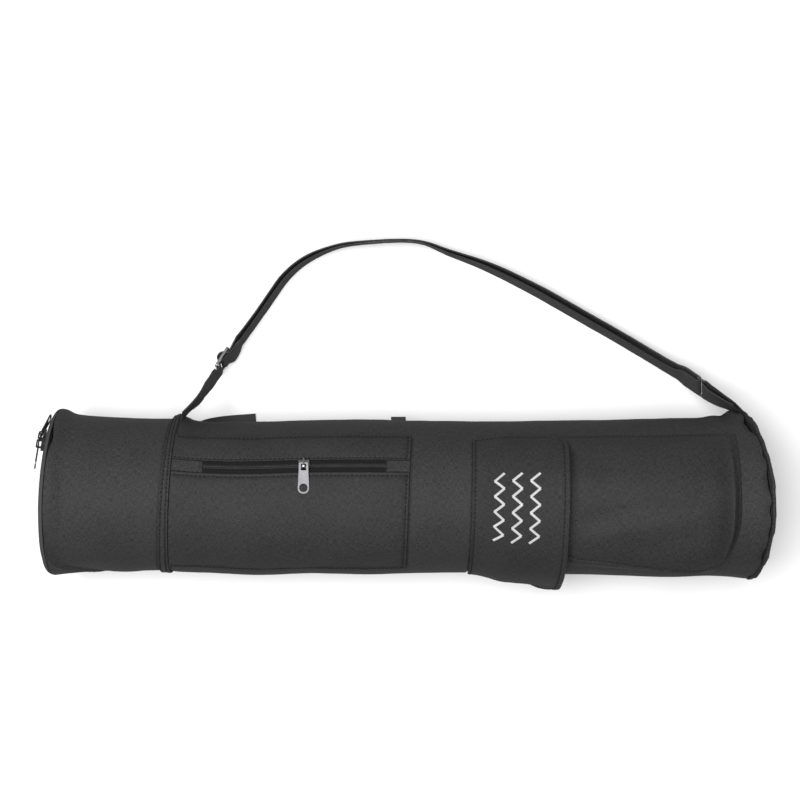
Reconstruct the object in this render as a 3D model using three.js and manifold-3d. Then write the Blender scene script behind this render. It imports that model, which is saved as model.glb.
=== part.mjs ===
// Yoga mat bag lying on its back, in millimetres.
// X runs along the bag, from the zipped cap to the base. Y points to the shoulder strap that lies behind it.
// Z is up, and Z = 0 is the flattened underside that the bag rests on.
// Angles go round the bag from +Y, over the top, so 90 degrees is the top and 180 degrees is the -Y side.

import * as THREE from 'three';
import Module from 'manifold-3d';
import { mergeVertices } from 'three/addons/utils/BufferGeometryUtils.js';

const wasm = await Module();
wasm.setup();

const bodyLength = 700;
const bodyRadius = 76;
const floorPress = 4;
const clothWall = 2;
const seat = 0.35;

const capSkew = 3.3;
const capDepth = 4;
const capDome = 4;
const tapeWall = 1;
const tapeReach = 8;
const coilWidth = 3.2;
const coilHeight = 1.4;

const basePull = 11;
const baseSkew = 3;
const baseDome = 5;
const bindingWidth = 3.6;
const bindingHeight = 5;

const bandWall = 1.3;
const bandFromCap = 125;
const bandPlace = bandFromCap - bodyLength / 2;
const bandSlant = 9;
const bandNarrow = 6.5;
const bandWide = 10;
const bandLowAngle = -60;
const bandHighAngle = 240;

const pocketWall = 1.5;
const pocketLowAngle = 36.6;
const pocketHighAngle = 152;
const pocketEnd = 4.2;
const pocketEndSlant = 5.9;
const zipAngle = 64.3;
const zipOpening = 12.6;
const zipFromBand = 28.5;
const zipRight = -20;
const pocketSliderPlace = -99;

const gussetFromBase = 40;
const gussetEdge = bodyLength / 2 - gussetFromBase;
const gussetLength = 210;
const mouthPlace = gussetEdge - gussetLength;
const gussetRise = 15;
const gussetFoot = 8;
const gussetLowAngle = 38;
const gussetFootTurn = 17;

const flapCover = 35;
const flapPlace = mouthPlace - flapCover;
const flapWidth = 88;
const flapCorner = 18;
const flapLowAngle = 39;
const flapHighAngle = 183;
const flapClearance = 2.2;
const flapFlare = 5;
const flapSlant = 4.5;

const webWidth = 25;
const webWall = 1.5;
const layerPitch = 2.2;
const strapReach = 184;
const rootInset = 1.5;
const rootPlace = bandPlace - rootInset;
const rootAngle = 5;
const rootLean = -4;
const rootLift = 4.6;
const holdReach = 14;
const anchorFromBase = 23;
const anchorPlace = bodyLength / 2 - anchorFromBase;
const anchorAngle = -10;
const anchorLift = 7;
const barSize = 2.4;
const barPitch = 10.5;
const ringPitch = 9;
const railGap = 0.6;
const tailLength = 24;

const pullLength = 30;
const pullTopWidth = 8.4;
const pullEndWidth = 11.3;
const pullWall = 1.2;
const pullHole = 8;
const windowWidth = 5.2;
const windowLength = 6.3;
const pinSize = 1.3;
const sliderLength = 10.2;
const sliderWidth = 8.6;
const sliderHeight = 2.6;
const archLength = 10;
const archWidth = 1.6;
const archBar = 1.5;
const archRoom = 3.5;
const capSliders = [
  { side: 'lower', turn: -0.5, uphill: -1, droop: 11 },
  { side: 'upper', turn: 0.5, uphill: 1, droop: 0.5 },
];
const capSliderAngle = 45.2;
const capSliderApart = 0.75;
const capLean = 12;
const capSliderGap = 1.3;
const pocketDroop = 19;

const tabAngle = -38;
const tabDrop = 40;
const tabLength = 27;
const tabEdgeOut = 7;
const tabSkew = 4.5;
const floorGap = 0.8;
const loopPlace = -8.6;
const loopWidth = 15;
const loopHighAngle = -22;
const loopLowAngle = -36;
const loopReach = 3.6;

const around = 40;

// Half width and sideways shift of the tube at places along its length, as shares of the radius.
const sections = [
  { at: 0.0, wide: 1.072, shift: 0.071 },
  { at: 0.014, wide: 1.064, shift: 0.078 },
  { at: 0.03, wide: 1.034, shift: 0.056 },
  { at: 0.06, wide: 1.017, shift: 0.044 },
  { at: 0.1, wide: 1.012, shift: 0.034 },
  { at: 0.136, wide: 0.997, shift: 0.038 },
  { at: 0.17, wide: 1.003, shift: 0.03 },
  { at: 0.21, wide: 0.989, shift: 0.006 },
  { at: 0.287, wide: 1.004, shift: -0.013 },
  { at: 0.363, wide: 1.0, shift: 0.006 },
  { at: 0.439, wide: 1.009, shift: 0.005 },
  { at: 0.533, wide: 0.997, shift: 0.004 },
  { at: 0.625, wide: 0.986, shift: 0.004 },
  { at: 0.707, wide: 1.003, shift: 0.0 },
  { at: 0.774, wide: 1.013, shift: 0.001 },
  { at: 0.864, wide: 1.032, shift: -0.003 },
  { at: 0.92, wide: 1.03, shift: 0.006 },
  { at: 0.955, wide: 1.045, shift: 0.012 },
  { at: 0.981, wide: 1.066, shift: 0.018 },
  { at: 1.0, wide: 1.07, shift: 0.018 },
];

// Folds of the tube's cloth: where they are along and around it, and their rise and reach.
// Place and reach are shares of the length, rise is a share of the radius, angles are in degrees.
const folds = [
  { at: 0.181, angle: 2, rise: 0.058, reach: 0.011, spread: 15 },
  { at: 0.013, angle: 8, rise: 0.024, reach: 0.012, spread: 22 },
  { at: 0.934, angle: 10, rise: 0.03, reach: 0.012, spread: 24 },
  { at: 0.9595, angle: -3, rise: 0.066, reach: 0.0085, spread: 13 },
  { at: 0.974, angle: -8, rise: 0.02, reach: 0.01, spread: 14 },
  { at: 0.055, angle: 165, rise: -0.022, reach: 0.028, spread: 16 },
  { at: 0.968, angle: 150, rise: -0.02, reach: 0.02, spread: 20 },
];

// How far the bulging pocket stands off the tube, as shares of its rise, from its top edge to its front edge
// and along it.
const gussetRound = [
  { at: 0.0, rise: 0 },
  { at: 0.13, rise: 0.42 },
  { at: 0.29, rise: 0.72 },
  { at: 0.47, rise: 1 },
  { at: 0.8, rise: 1 },
  { at: 0.92, rise: 0.94 },
  { at: 1.0, rise: 0.82 },
];
const gussetAlong = [
  { at: 0.0, rise: 0.58 },
  { at: 0.25, rise: 0.66 },
  { at: 0.5, rise: 0.94 },
  { at: 0.8, rise: 1 },
  { at: 1.0, rise: 0.86 },
];
// Angle of its front edge along it, and how far its right edge steps back round it, as a share of its length.
const gussetFront = [
  { at: 0.0, angle: 129 },
  { at: 0.25, angle: 131 },
  { at: 0.5, angle: 133.5 },
  { at: 0.85, angle: 139 },
  { at: 1.0, angle: 140.5 },
];
const gussetEdgeRound = [
  { at: 0.0, back: 0.004 },
  { at: 0.6, back: 0 },
  { at: 0.72, back: 0.006 },
  { at: 0.82, back: 0.02 },
  { at: 0.93, back: 0.042 },
  { at: 1.0, back: 0.066 },
];
const flapRound = [
  { at: 38, rise: 0 },
  { at: 50, rise: 0.44 },
  { at: 65, rise: 0.74 },
  { at: 82, rise: 1 },
  { at: 120, rise: 1 },
  { at: 135, rise: 0.95 },
  { at: 150, rise: 0.83 },
  { at: 165, rise: 0.6 },
  { at: 185, rise: 0.5 },
];

// Route of the strap's centre line on the ground, between the band and the ring.
// along is a share of the bag's length, out a share of the strap's reach from the tube's side,
// rise a share of the height of the sewn end, lean in degrees from upright, half the strands' half spacing in layers.
const strapRoute = [
  { along: -0.305, out: 0.109, rise: 0.86, lean: 2, half: 1.2 },
  { along: -0.2915, out: 0.184, rise: 0.5, lean: 7, half: 1.2 },
  { along: -0.2795, out: 0.2674, rise: 0.17, lean: 9, half: 1.2 },
  { along: -0.2689, out: 0.3342, rise: 0.1, lean: 9, half: 1.2 },
  { along: -0.2583, out: 0.4011, rise: 0.07, lean: 9, half: 1.2 },
  { along: -0.2485, out: 0.462, rise: 0.04, lean: 9, half: 1.25 },
  { along: -0.2201, out: 0.594, rise: 0, lean: 9, half: 1.4 },
  { along: -0.1987, out: 0.706, rise: 0, lean: 8, half: 1.35 },
  { along: -0.1796, out: 0.802, rise: 0, lean: 6, half: 1.2 },
  { along: -0.1509, out: 0.894, rise: 0, lean: 3, half: 0.9 },
  { along: -0.1059, out: 0.971, rise: 0, lean: -1, half: 0.6 },
  { along: -0.0551, out: 0.999, rise: 0, lean: -4, half: 0.52 },
  { along: 0.0186, out: 1.0, rise: 0, lean: -4, half: 0.52 },
  { along: 0.0623, out: 0.941, rise: 0, lean: 1, half: 0.7 },
  { along: 0.1241, out: 0.853, rise: 0, lean: 6, half: 1.1 },
  { along: 0.1964, out: 0.717, rise: 0, lean: 9, half: 1.3 },
  { along: 0.2731, out: 0.552, rise: 0, lean: 9, half: 1.4 },
  { along: 0.3144, out: 0.462, rise: 0.02, lean: 10, half: 1.6 },
  { along: 0.3743, out: 0.32, rise: 0.1, lean: 14, half: 2.1 },
  { along: 0.405, out: 0.247, rise: 0.22, lean: 17, half: 1.9 },
  { along: 0.4229, out: 0.1957, rise: 0.34, lean: 18, half: 1.3 },
];
const sliderRow = 3;

const rad = THREE.MathUtils.degToRad;
const up = new THREE.Vector3(0, 0, 1);

const colours = {
  canvas: 0x3f3f41,
  webbing: 0x38383a,
  zip: 0x161617,
  tape: 0x505153,
  blackTape: 0x161617,
  metal: 0xc9cacc,
};
const finishes = {
  canvas: { color: colours.canvas, roughness: 0.92, metalness: 0 },
  webbing: { color: colours.webbing, roughness: 0.85, metalness: 0 },
  zip: { color: colours.zip, roughness: 0.7, metalness: 0 },
  tape: { color: colours.tape, roughness: 0.85, metalness: 0 },
  blackTape: { color: colours.blackTape, roughness: 0.85, metalness: 0 },
  metal: { color: colours.metal, roughness: 0.3, metalness: 1 },
};

const bag = new THREE.Group();

function addPiece(name, geometry, finish) {
  const mesh = new THREE.Mesh(geometry, new THREE.MeshStandardMaterial(finishes[finish]));
  mesh.name = name;
  bag.add(mesh);
  return mesh;
}

// Smooth value of one column of a table at a place between its rows.
function rowValue(rows, key, at) {
  let i = 0;
  while (i < rows.length - 2 && at > rows[i + 1].at) i += 1;
  const low = rows[i];
  const high = rows[i + 1];
  const share = THREE.MathUtils.clamp((at - low.at) / (high.at - low.at), 0, 1);
  const slopeAt = (k) => {
    const before = rows[Math.max(k - 1, 0)];
    const after = rows[Math.min(k + 1, rows.length - 1)];
    return (after[key] - before[key]) / (after.at - before.at);
  };
  const span = high.at - low.at;
  const s2 = share * share;
  const s3 = s2 * share;
  return (2 * s3 - 3 * s2 + 1) * low[key] + (s3 - 2 * s2 + share) * span * slopeAt(i)
    + (3 * s2 - 2 * s3) * high[key] + (s3 - s2) * span * slopeAt(i + 1);
}

function foldRise(x, angle) {
  let rise = 0;
  for (const fold of folds) {
    const along = (x / bodyLength + 0.5 - fold.at) / fold.reach;
    const across = THREE.MathUtils.euclideanModulo(angle - fold.angle + 180, 360) - 180;
    rise += bodyRadius * fold.rise * Math.exp(-(along * along) - (across / fold.spread) ** 2);
  }
  return rise;
}

// Point on the tube's skin, or at a lift above it. Cloth that would pass the ground lies flat on it.
function skin(x, angle, lift = 0) {
  const at = THREE.MathUtils.clamp(x / bodyLength + 0.5, 0, 1);
  const radius = bodyRadius * rowValue(sections, 'wide', at);
  const reach = radius + foldRise(x, angle) + lift;
  const y = bodyRadius * rowValue(sections, 'shift', at) + reach * Math.cos(rad(angle));
  const z = radius - floorPress + reach * Math.sin(rad(angle));
  return new THREE.Vector3(x, y, Math.max(z, -lift));
}

const capPlane = (angle) => -bodyLength / 2 + capSkew * Math.cos(rad(angle));
const basePlane = (angle) =>
  bodyLength / 2 - basePull * Math.cos(rad(angle)) ** 2 - baseSkew * Math.cos(rad(angle));

function spread(low, high, count) {
  return Array.from({ length: count + 1 }, (_, i) => low + ((high - low) * i) / count);
}

function solidFrom(points, triangles) {
  const volume = triangles.reduce((sum, [a, b, c]) => {
    const cross = new THREE.Vector3().crossVectors(points[b], points[c]);
    return sum + points[a].dot(cross);
  }, 0);
  const faces = volume < 0 ? triangles.map(([a, b, c]) => [a, c, b]) : triangles;
  const geometry = new THREE.BufferGeometry();
  geometry.setAttribute(
    'position',
    new THREE.Float32BufferAttribute(points.flatMap((p) => [p.x, p.y, p.z]), 3),
  );
  geometry.setIndex(faces.flat());
  geometry.computeVertexNormals();
  return geometry;
}

// Closed wall between an outer and an inner grid of points, whose rows may close on themselves.
function wallBetween(outer, inner, wrap = false) {
  const rows = outer.length;
  const columns = outer[0].length;
  const points = [...outer.flat(), ...inner.flat()];
  const outside = (i, j) => i * columns + (j % columns);
  const inside = (i, j) => rows * columns + outside(i, j);
  const triangles = [];
  const quad = (a, b, c, d) => triangles.push([a, b, c], [a, c, d]);
  const lastColumn = wrap ? columns : columns - 1;
  for (let i = 0; i < rows - 1; i += 1) {
    for (let j = 0; j < lastColumn; j += 1) {
      quad(outside(i, j), outside(i + 1, j), outside(i + 1, j + 1), outside(i, j + 1));
      quad(inside(i, j), inside(i, j + 1), inside(i + 1, j + 1), inside(i + 1, j));
    }
    if (!wrap) {
      quad(outside(i, 0), inside(i, 0), inside(i + 1, 0), outside(i + 1, 0));
      const j = columns - 1;
      quad(outside(i, j), outside(i + 1, j), inside(i + 1, j), inside(i, j));
    }
  }
  for (let j = 0; j < lastColumn; j += 1) {
    quad(outside(0, j), outside(0, j + 1), inside(0, j + 1), inside(0, j));
    const i = rows - 1;
    quad(outside(i, j), inside(i, j), inside(i, j + 1), outside(i, j + 1));
  }
  return solidFrom(points, triangles);
}

// Inner side of a grid of points, one cloth thickness below it, away from the given side.
function below(grid, wall, outward) {
  return grid.map((row, i) => row.map((point, j) => {
    const alongRow = new THREE.Vector3().subVectors(
      row[Math.min(j + 1, row.length - 1)],
      row[Math.max(j - 1, 0)],
    );
    const acrossRows = new THREE.Vector3().subVectors(
      grid[Math.min(i + 1, grid.length - 1)][j],
      grid[Math.max(i - 1, 0)][j],
    );
    const normal = alongRow.cross(acrossRows).normalize();
    if (normal.dot(outward(point)) < 0) normal.negate();
    return point.clone().addScaledVector(normal, -wall);
  }));
}

const fromAxis = (point) => new THREE.Vector3(0, point.y, point.z - bodyRadius + floorPress);

// Angles of a patch: its two edges, and the tube's own facets between them.
function facetAngles(lowAngle, highAngle) {
  const facet = 360 / around;
  const first = Math.ceil((lowAngle + 1) / facet);
  const last = Math.floor((highAngle - 1) / facet);
  const inner = Array.from({ length: Math.max(0, last - first + 1) }, (_, i) => (first + i) * facet);
  return [lowAngle, ...inner, highAngle];
}

// Patch of cloth on the tube, between two edges that may slant, at a lift of its outer side.
function skinPatch({ left, right, lowAngle, highAngle, lift, wall, columns }) {
  const angles = facetAngles(lowAngle, highAngle);
  const row = (depth) => (angle) =>
    spread(left(angle), right(angle), columns).map((x) => skin(x, angle, lift - depth));
  return wallBetween(angles.map(row(0)), angles.map(row(wall)));
}

function makeBody() {
  const shares = [
    0, 0.012, 0.026, 0.05, 0.085, 0.13, 0.15, 0.162, 0.169, 0.176, 0.184, 0.2, 0.23, 0.27, 0.31, 0.37,
    0.44, 0.53, 0.6, 0.66, 0.72, 0.79, 0.86, 0.91, 0.926, 0.942, 0.956, 0.97, 0.984, 1,
  ];
  const angles = spread(0, 360, around).slice(0, around);
  const left = (angle) => capPlane(angle) + capDepth;
  const right = (angle) => basePlane(angle) - bindingWidth - seat;
  const tube = (lift) => shares.map((share) => angles.map((angle) =>
    skin(THREE.MathUtils.lerp(left(angle), right(angle), share), angle, lift)));
  addPiece('body_shell', wallBetween(tube(0), tube(-clothWall), true), 'canvas');
}

const bandShare = (angle) => THREE.MathUtils.clamp(angle / 160, 0, 1);
const bandRight = (angle) => bandPlace - bandSlant * bandShare(angle) ** 2;
const bandLeft = (angle) =>
  bandRight(angle) - THREE.MathUtils.lerp(bandNarrow, bandWide, bandShare(angle));

function makeBand() {
  addPiece('strap_band', skinPatch({
    left: bandLeft,
    right: bandRight,
    lowAngle: bandLowAngle,
    highAngle: bandHighAngle,
    lift: seat + bandWall,
    wall: bandWall,
    columns: 2,
  }), 'canvas');
}

// Round end piece: rings of points from the rim to the centre, with a wall of cloth behind them.
function disc(rimPoint, centre, rings, wall, inward) {
  const angles = spread(0, 360, around).slice(0, around);
  const ring = (share, depth) => angles.map((angle) => {
    const rim = rimPoint(angle);
    const point = centre.clone().lerp(rim, share);
    point.x = rim.x + (centre.x - rim.x) * (1 - share * share) + inward * depth;
    return point;
  });
  const shares = spread(1, 0, rings).slice(0, rings);
  const points = [];
  for (const depth of [0, wall]) {
    shares.forEach((share) => points.push(...ring(share, depth)));
    points.push(new THREE.Vector3(centre.x + inward * depth, centre.y, centre.z));
  }
  const layer = rings * around + 1;
  const triangles = [];
  const quad = (a, b, c, d) => triangles.push([a, b, c], [a, c, d]);
  for (let j = 0; j < around; j += 1) {
    const k = (j + 1) % around;
    for (let i = 0; i < rings - 1; i += 1) {
      quad(i * around + j, (i + 1) * around + j, (i + 1) * around + k, i * around + k);
      quad(
        layer + i * around + k, layer + (i + 1) * around + k,
        layer + (i + 1) * around + j, layer + i * around + j,
      );
    }
    const last = (rings - 1) * around;
    triangles.push([last + j, layer - 1, last + k]);
    triangles.push([layer + last + k, 2 * layer - 1, layer + last + j]);
    quad(j, k, layer + k, layer + j);
  }
  return solidFrom(points, triangles);
}

const rimOf = (x, angle, lift) => {
  const at = THREE.MathUtils.clamp(x, -bodyLength / 2, bodyLength / 2);
  const point = skin(at, angle, lift);
  point.x = x;
  return point;
};

const axisAt = (x) => {
  const at = THREE.MathUtils.clamp(x / bodyLength + 0.5, 0, 1);
  return new THREE.Vector3(
    x,
    bodyRadius * rowValue(sections, 'shift', at),
    bodyRadius * rowValue(sections, 'wide', at) - floorPress,
  );
};

// Profile of the cap's zip across the rim: distance out of the cap's plane, and depth below the tube's skin.
const capProfile = [
  { out: -capDepth + seat, depth: 0.2, turn: 0 },
  { out: -1.2, depth: 1, turn: 0.35 },
  { out: 0.3, depth: 2.6, turn: 0.9 },
  { out: -1.6, depth: 4.1, turn: 1 },
  { out: -1.6, depth: tapeReach, turn: 1 },
];
const coilDepth = 0.5 * (capProfile[3].depth + tapeReach) + 0.2;
const coilOut = capProfile[4].out + seat;

function makeCap() {
  const angles = spread(0, 360, around).slice(0, around);
  const profileRing = (wall) => capProfile.map(({ out, depth, turn }) => angles.map((angle) =>
    rimOf(capPlane(angle) - out + turn * wall, angle, -depth - (1 - 0.9 * turn) * wall)));
  addPiece('cap_zip_tape', wallBetween(profileRing(0), profileRing(tapeWall), true), 'tape');

  const coilRing = (out) => [-0.5, 0.5].map((side) => angles.map((angle) =>
    rimOf(capPlane(angle) - out, angle, -coilDepth + side * coilWidth)));
  const coil = wallBetween(coilRing(coilOut + coilHeight), coilRing(coilOut), true);
  addPiece('cap_zip_coil', coil, 'zip');

  const lidRim = (angle) =>
    rimOf(capPlane(angle) - capProfile[4].out, angle, -tapeReach - 0.1 * tapeWall - seat);
  const centre = axisAt(-bodyLength / 2 - capDome);
  addPiece('cap_panel', disc(lidRim, centre, 3, clothWall, 1), 'canvas');
}

function makeBase() {
  const angles = spread(0, 360, around).slice(0, around);
  const ring = (depth) => [bindingWidth, 0].map((back) => angles.map((angle) =>
    rimOf(basePlane(angle) - back, angle, -depth)));
  addPiece('base_binding', wallBetween(ring(0), ring(bindingHeight), true), 'canvas');
  const rim = (angle) => rimOf(basePlane(angle) - 0.5 * bindingWidth, angle, -bindingHeight - seat);
  const centre = axisAt(bodyLength / 2 - basePull + baseDome);
  addPiece('base_panel', disc(rim, centre, 3, clothWall, -1), 'canvas');
}

const pocketRight = (angle) => pocketEnd
  - (pocketEndSlant * (angle - pocketLowAngle)) / (pocketHighAngle - pocketLowAngle);
const pocketLift = seat + pocketWall;
const zipLeft = bandPlace + zipFromBand;
const zipLowAngle = zipAngle - THREE.MathUtils.radToDeg(zipOpening / 2 / bodyRadius);
const zipHighAngle = zipAngle + THREE.MathUtils.radToDeg(zipOpening / 2 / bodyRadius);
const seatAngle = THREE.MathUtils.radToDeg(seat / bodyRadius);

function makeZipPocket() {
  const pocketLeft = (angle) => bandRight(angle) + seat;
  const cloth = { lift: pocketLift, wall: pocketWall };
  const low = pocketLowAngle;
  const high = pocketHighAngle;
  addPiece('pocket_top_band', skinPatch({
    ...cloth, left: pocketLeft, right: pocketRight, lowAngle: low, highAngle: zipLowAngle, columns: 9,
  }), 'canvas');
  addPiece('pocket_panel', skinPatch({
    ...cloth, left: pocketLeft, right: pocketRight, lowAngle: zipHighAngle, highAngle: high, columns: 9,
  }), 'canvas');
  const beside = { ...cloth, lowAngle: zipLowAngle + seatAngle, highAngle: zipHighAngle - seatAngle };
  addPiece('pocket_tab_left', skinPatch({
    ...beside, left: pocketLeft, right: () => zipLeft, columns: 2,
  }), 'canvas');
  addPiece('pocket_tab_right', skinPatch({
    ...beside, left: () => zipRight, right: pocketRight, columns: 2,
  }), 'canvas');
  addPiece('pocket_zip_tape', skinPatch({
    left: () => zipLeft + seat,
    right: () => zipRight - seat,
    lowAngle: zipLowAngle + seatAngle,
    highAngle: zipHighAngle - seatAngle,
    lift: seat + 0.5 * tapeWall,
    wall: 0.5 * tapeWall,
    columns: 8,
  }), 'blackTape');
  const coilAngle = THREE.MathUtils.radToDeg(coilWidth / 2 / bodyRadius);
  addPiece('pocket_zip_coil', skinPatch({
    left: () => zipLeft + seat,
    right: () => zipRight - seat,
    lowAngle: zipAngle - coilAngle,
    highAngle: zipAngle + coilAngle,
    lift: pocketCoilTop,
    wall: coilHeight,
    columns: 8,
  }), 'zip');
}
const pocketCoilTop = 2 * seat + 0.5 * tapeWall + coilHeight;

const gussetShare = (x) => THREE.MathUtils.clamp((x - mouthPlace) / gussetLength, 0, 1);
const alongGusset = (x) => rowValue(gussetAlong, 'rise', gussetShare(x));

function makeGussetPocket() {
  const shares = spread(0, 1, 12);
  const pointAt = (share, column, footAngle) => {
    const edge = gussetEdge - gussetLength * rowValue(gussetEdgeRound, 'back', share);
    const x = column > 8 ? edge + gussetFoot : THREE.MathUtils.lerp(mouthPlace, edge, column / 8);
    const front = rowValue(gussetFront, 'angle', gussetShare(x));
    const angle = THREE.MathUtils.lerp(gussetLowAngle, front, share) + footAngle;
    const foot = column > 8 || footAngle > 0;
    const rise = foot ? 0 : gussetRise * rowValue(gussetRound, 'rise', share) * alongGusset(x);
    return skin(x, angle, pocketLift + rise + (foot ? 0.5 * seat : 0));
  };
  const columns = spread(0, 9, 9);
  const grid = shares.map((share) => columns.map((column) => pointAt(share, column, 0)));
  grid.push(columns.map((column) => pointAt(1, column, gussetFootTurn)));
  addPiece('gusset_pocket', wallBetween(grid, below(grid, pocketWall, fromAxis)), 'canvas');
}

// Lift of the flap's outer side: it is sewn down at its left edge and rides over the pocket's mouth.
function flapLift(x, share, angle) {
  const ramp = THREE.MathUtils.smoothstep(x, flapPlace, mouthPlace - 1);
  const over = gussetRise * rowValue(flapRound, 'rise', angle) * alongGusset(x);
  const flare = flapFlare * share * share * THREE.MathUtils.smoothstep(angle, 150, flapHighAngle);
  return pocketLift + ramp * (flapClearance + over + flare);
}

function makeFlap() {
  const degrees = THREE.MathUtils.radToDeg(1 / bodyRadius);
  const corner = flapCorner * degrees;
  const inset = (angle) => {
    const fromEdge = Math.min(angle - flapLowAngle, flapHighAngle - angle);
    const turned = THREE.MathUtils.clamp(1 - fromEdge / corner, 0, 1);
    return flapCorner * (1 - Math.sqrt(1 - turned * turned));
  };
  const cornerRows = [0, 0.08, 0.3, 0.62];
  const angles = [
    ...cornerRows.map((share) => flapLowAngle + corner * share),
    ...spread(flapLowAngle + corner, flapHighAngle - corner, 13),
    ...cornerRows.map((share) => flapHighAngle - corner * share).reverse(),
  ];
  const grid = angles.map((angle) => {
    const slant = (flapSlant * (angle - flapLowAngle)) / (flapHighAngle - flapLowAngle);
    const left = flapPlace - slant;
    const right = flapPlace + flapWidth - slant - inset(angle);
    return spread(0, 1, 8).map((share) => {
      const x = THREE.MathUtils.lerp(left, right, share);
      return skin(x, angle, flapLift(x, share, angle));
    });
  });
  addPiece('front_flap', wallBetween(grid, below(grid, pocketWall, fromAxis)), 'canvas');
}

// Flat strip of webbing along stations, each with a centre, its width direction and its face direction.
function ribbon(stations, width = webWidth, wall = webWall) {
  const corners = stations.map(({ centre, across, face }) => [[-1, -1], [1, -1], [1, 1], [-1, 1]].map(
    ([side, front]) => centre.clone()
      .addScaledVector(across, (side * width) / 2)
      .addScaledVector(face, (front * wall) / 2),
  ));
  const points = corners.flat();
  const triangles = [];
  const quad = (a, b, c, d) => triangles.push([a, b, c], [a, c, d]);
  for (let i = 0; i < stations.length - 1; i += 1) {
    for (let j = 0; j < 4; j += 1) {
      const k = (j + 1) % 4;
      quad(4 * i + j, 4 * i + 4 + j, 4 * i + 4 + k, 4 * i + k);
    }
  }
  quad(0, 1, 2, 3);
  const last = points.length - 4;
  quad(last + 3, last + 2, last + 1, last);
  return solidFrom(points, triangles);
}

// A route is a curve with a leaning upright at each place. Pieces on it are placed by their distance along it
// and their offset to its outer side. It is straight beside its held rows, where hardware sits.
function makeRoute(points, leans, halves, heldRows) {
  const curve = new THREE.CatmullRomCurve3(points, false, 'centripetal');
  curve.arcLengthDivisions = 600;
  const length = curve.getLength();
  const lengths = points.map((_, i) => {
    const part = i / (points.length - 1);
    return curve.getLengths()[Math.round(part * curve.arcLengthDivisions)];
  });
  const tableAt = (values, distance) => {
    const rows = values.map((value, i) => ({ at: lengths[i], value }));
    return rowValue(rows, 'value', THREE.MathUtils.clamp(distance, 0, length));
  };
  const freeFrame = (distance) => {
    const inside = THREE.MathUtils.clamp(distance, 0, length);
    const part = inside / length;
    const along = curve.getTangentAt(part);
    const centre = curve.getPointAt(part).addScaledVector(along, distance - inside);
    const side = new THREE.Vector3().crossVectors(up, along).normalize();
    const lean = rad(tableAt(leans, distance));
    const across = up.clone().multiplyScalar(Math.cos(lean)).addScaledVector(side, Math.sin(lean));
    across.addScaledVector(along, -across.dot(along)).normalize();
    return { centre, along, across };
  };
  const frameAt = (distance) => {
    const frame = freeFrame(distance);
    for (const row of heldRows) {
      const offset = distance - lengths[row];
      const free = THREE.MathUtils.smoothstep(Math.abs(offset), holdReach, 2 * holdReach);
      const held = freeFrame(lengths[row]);
      frame.centre.lerp(held.centre.addScaledVector(held.along, offset), 1 - free);
      frame.along.lerp(held.along, 1 - free).normalize();
      frame.across.lerp(held.across, 1 - free);
    }
    frame.across.addScaledVector(frame.along, -frame.across.dot(frame.along)).normalize();
    return { ...frame, face: new THREE.Vector3().crossVectors(frame.across, frame.along) };
  };
  return { length, lengths, frameAt, halfAt: (distance) => tableAt(halves, distance) };
}

// Stations of a strip that follows a plan of distances and offsets on a route.
function stationsOn(route, plan) {
  const places = plan.map(([distance, offset]) => {
    const frame = route.frameAt(distance);
    return { centre: frame.centre.clone().addScaledVector(frame.face, offset), across: frame.across };
  });
  return places.map(({ centre, across }, i) => {
    const before = places[Math.max(i - 1, 0)].centre;
    const after = places[Math.min(i + 1, places.length - 1)].centre;
    const along = new THREE.Vector3().subVectors(after, before).normalize();
    const face = new THREE.Vector3().crossVectors(across, along).normalize();
    return { centre, across, face };
  });
}

const restHeight = 0.5 * webWidth + 0.8;
const rootPoint = skin(rootPlace, rootAngle, rootLift);
const strapPoints = [
  rootPoint,
  ...strapRoute.map(({ along, out, rise }) => new THREE.Vector3(
    along * bodyLength,
    bodyRadius + out * strapReach,
    THREE.MathUtils.lerp(restHeight, rootPoint.z, rise),
  )),
];
const strap = makeRoute(
  strapPoints,
  [rootLean, ...strapRoute.map(({ lean }) => lean)],
  [0, ...strapRoute.map(({ half }) => half * layerPitch)],
  [sliderRow + 1, strapRoute.length],
);
const sliderAt = strap.lengths[sliderRow + 1];
const ringAt = strap.length;
const clearBar = 0.5 * (barSize + webWall) + 0.6;

// Half turn round a bar, as plan points. side is 1 for a turn past the bar and -1 for one before it.
function turnRound(distance, side) {
  const radius = clearBar;
  return spread(-90, 90, 6).map((angle) => [
    distance + side * radius * Math.cos(rad(angle)),
    -side * radius * Math.sin(rad(angle)),
  ]);
}

function smoothPlan(marks, step) {
  const curve = new THREE.CatmullRomCurve3(
    marks.map(([distance, offset]) => new THREE.Vector3(distance, offset, 0)), false, 'centripetal',
  );
  const count = Math.max(2, Math.round(curve.getLength() / step));
  return curve.getSpacedPoints(count).map((p) => [p.x, p.y]);
}

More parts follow.
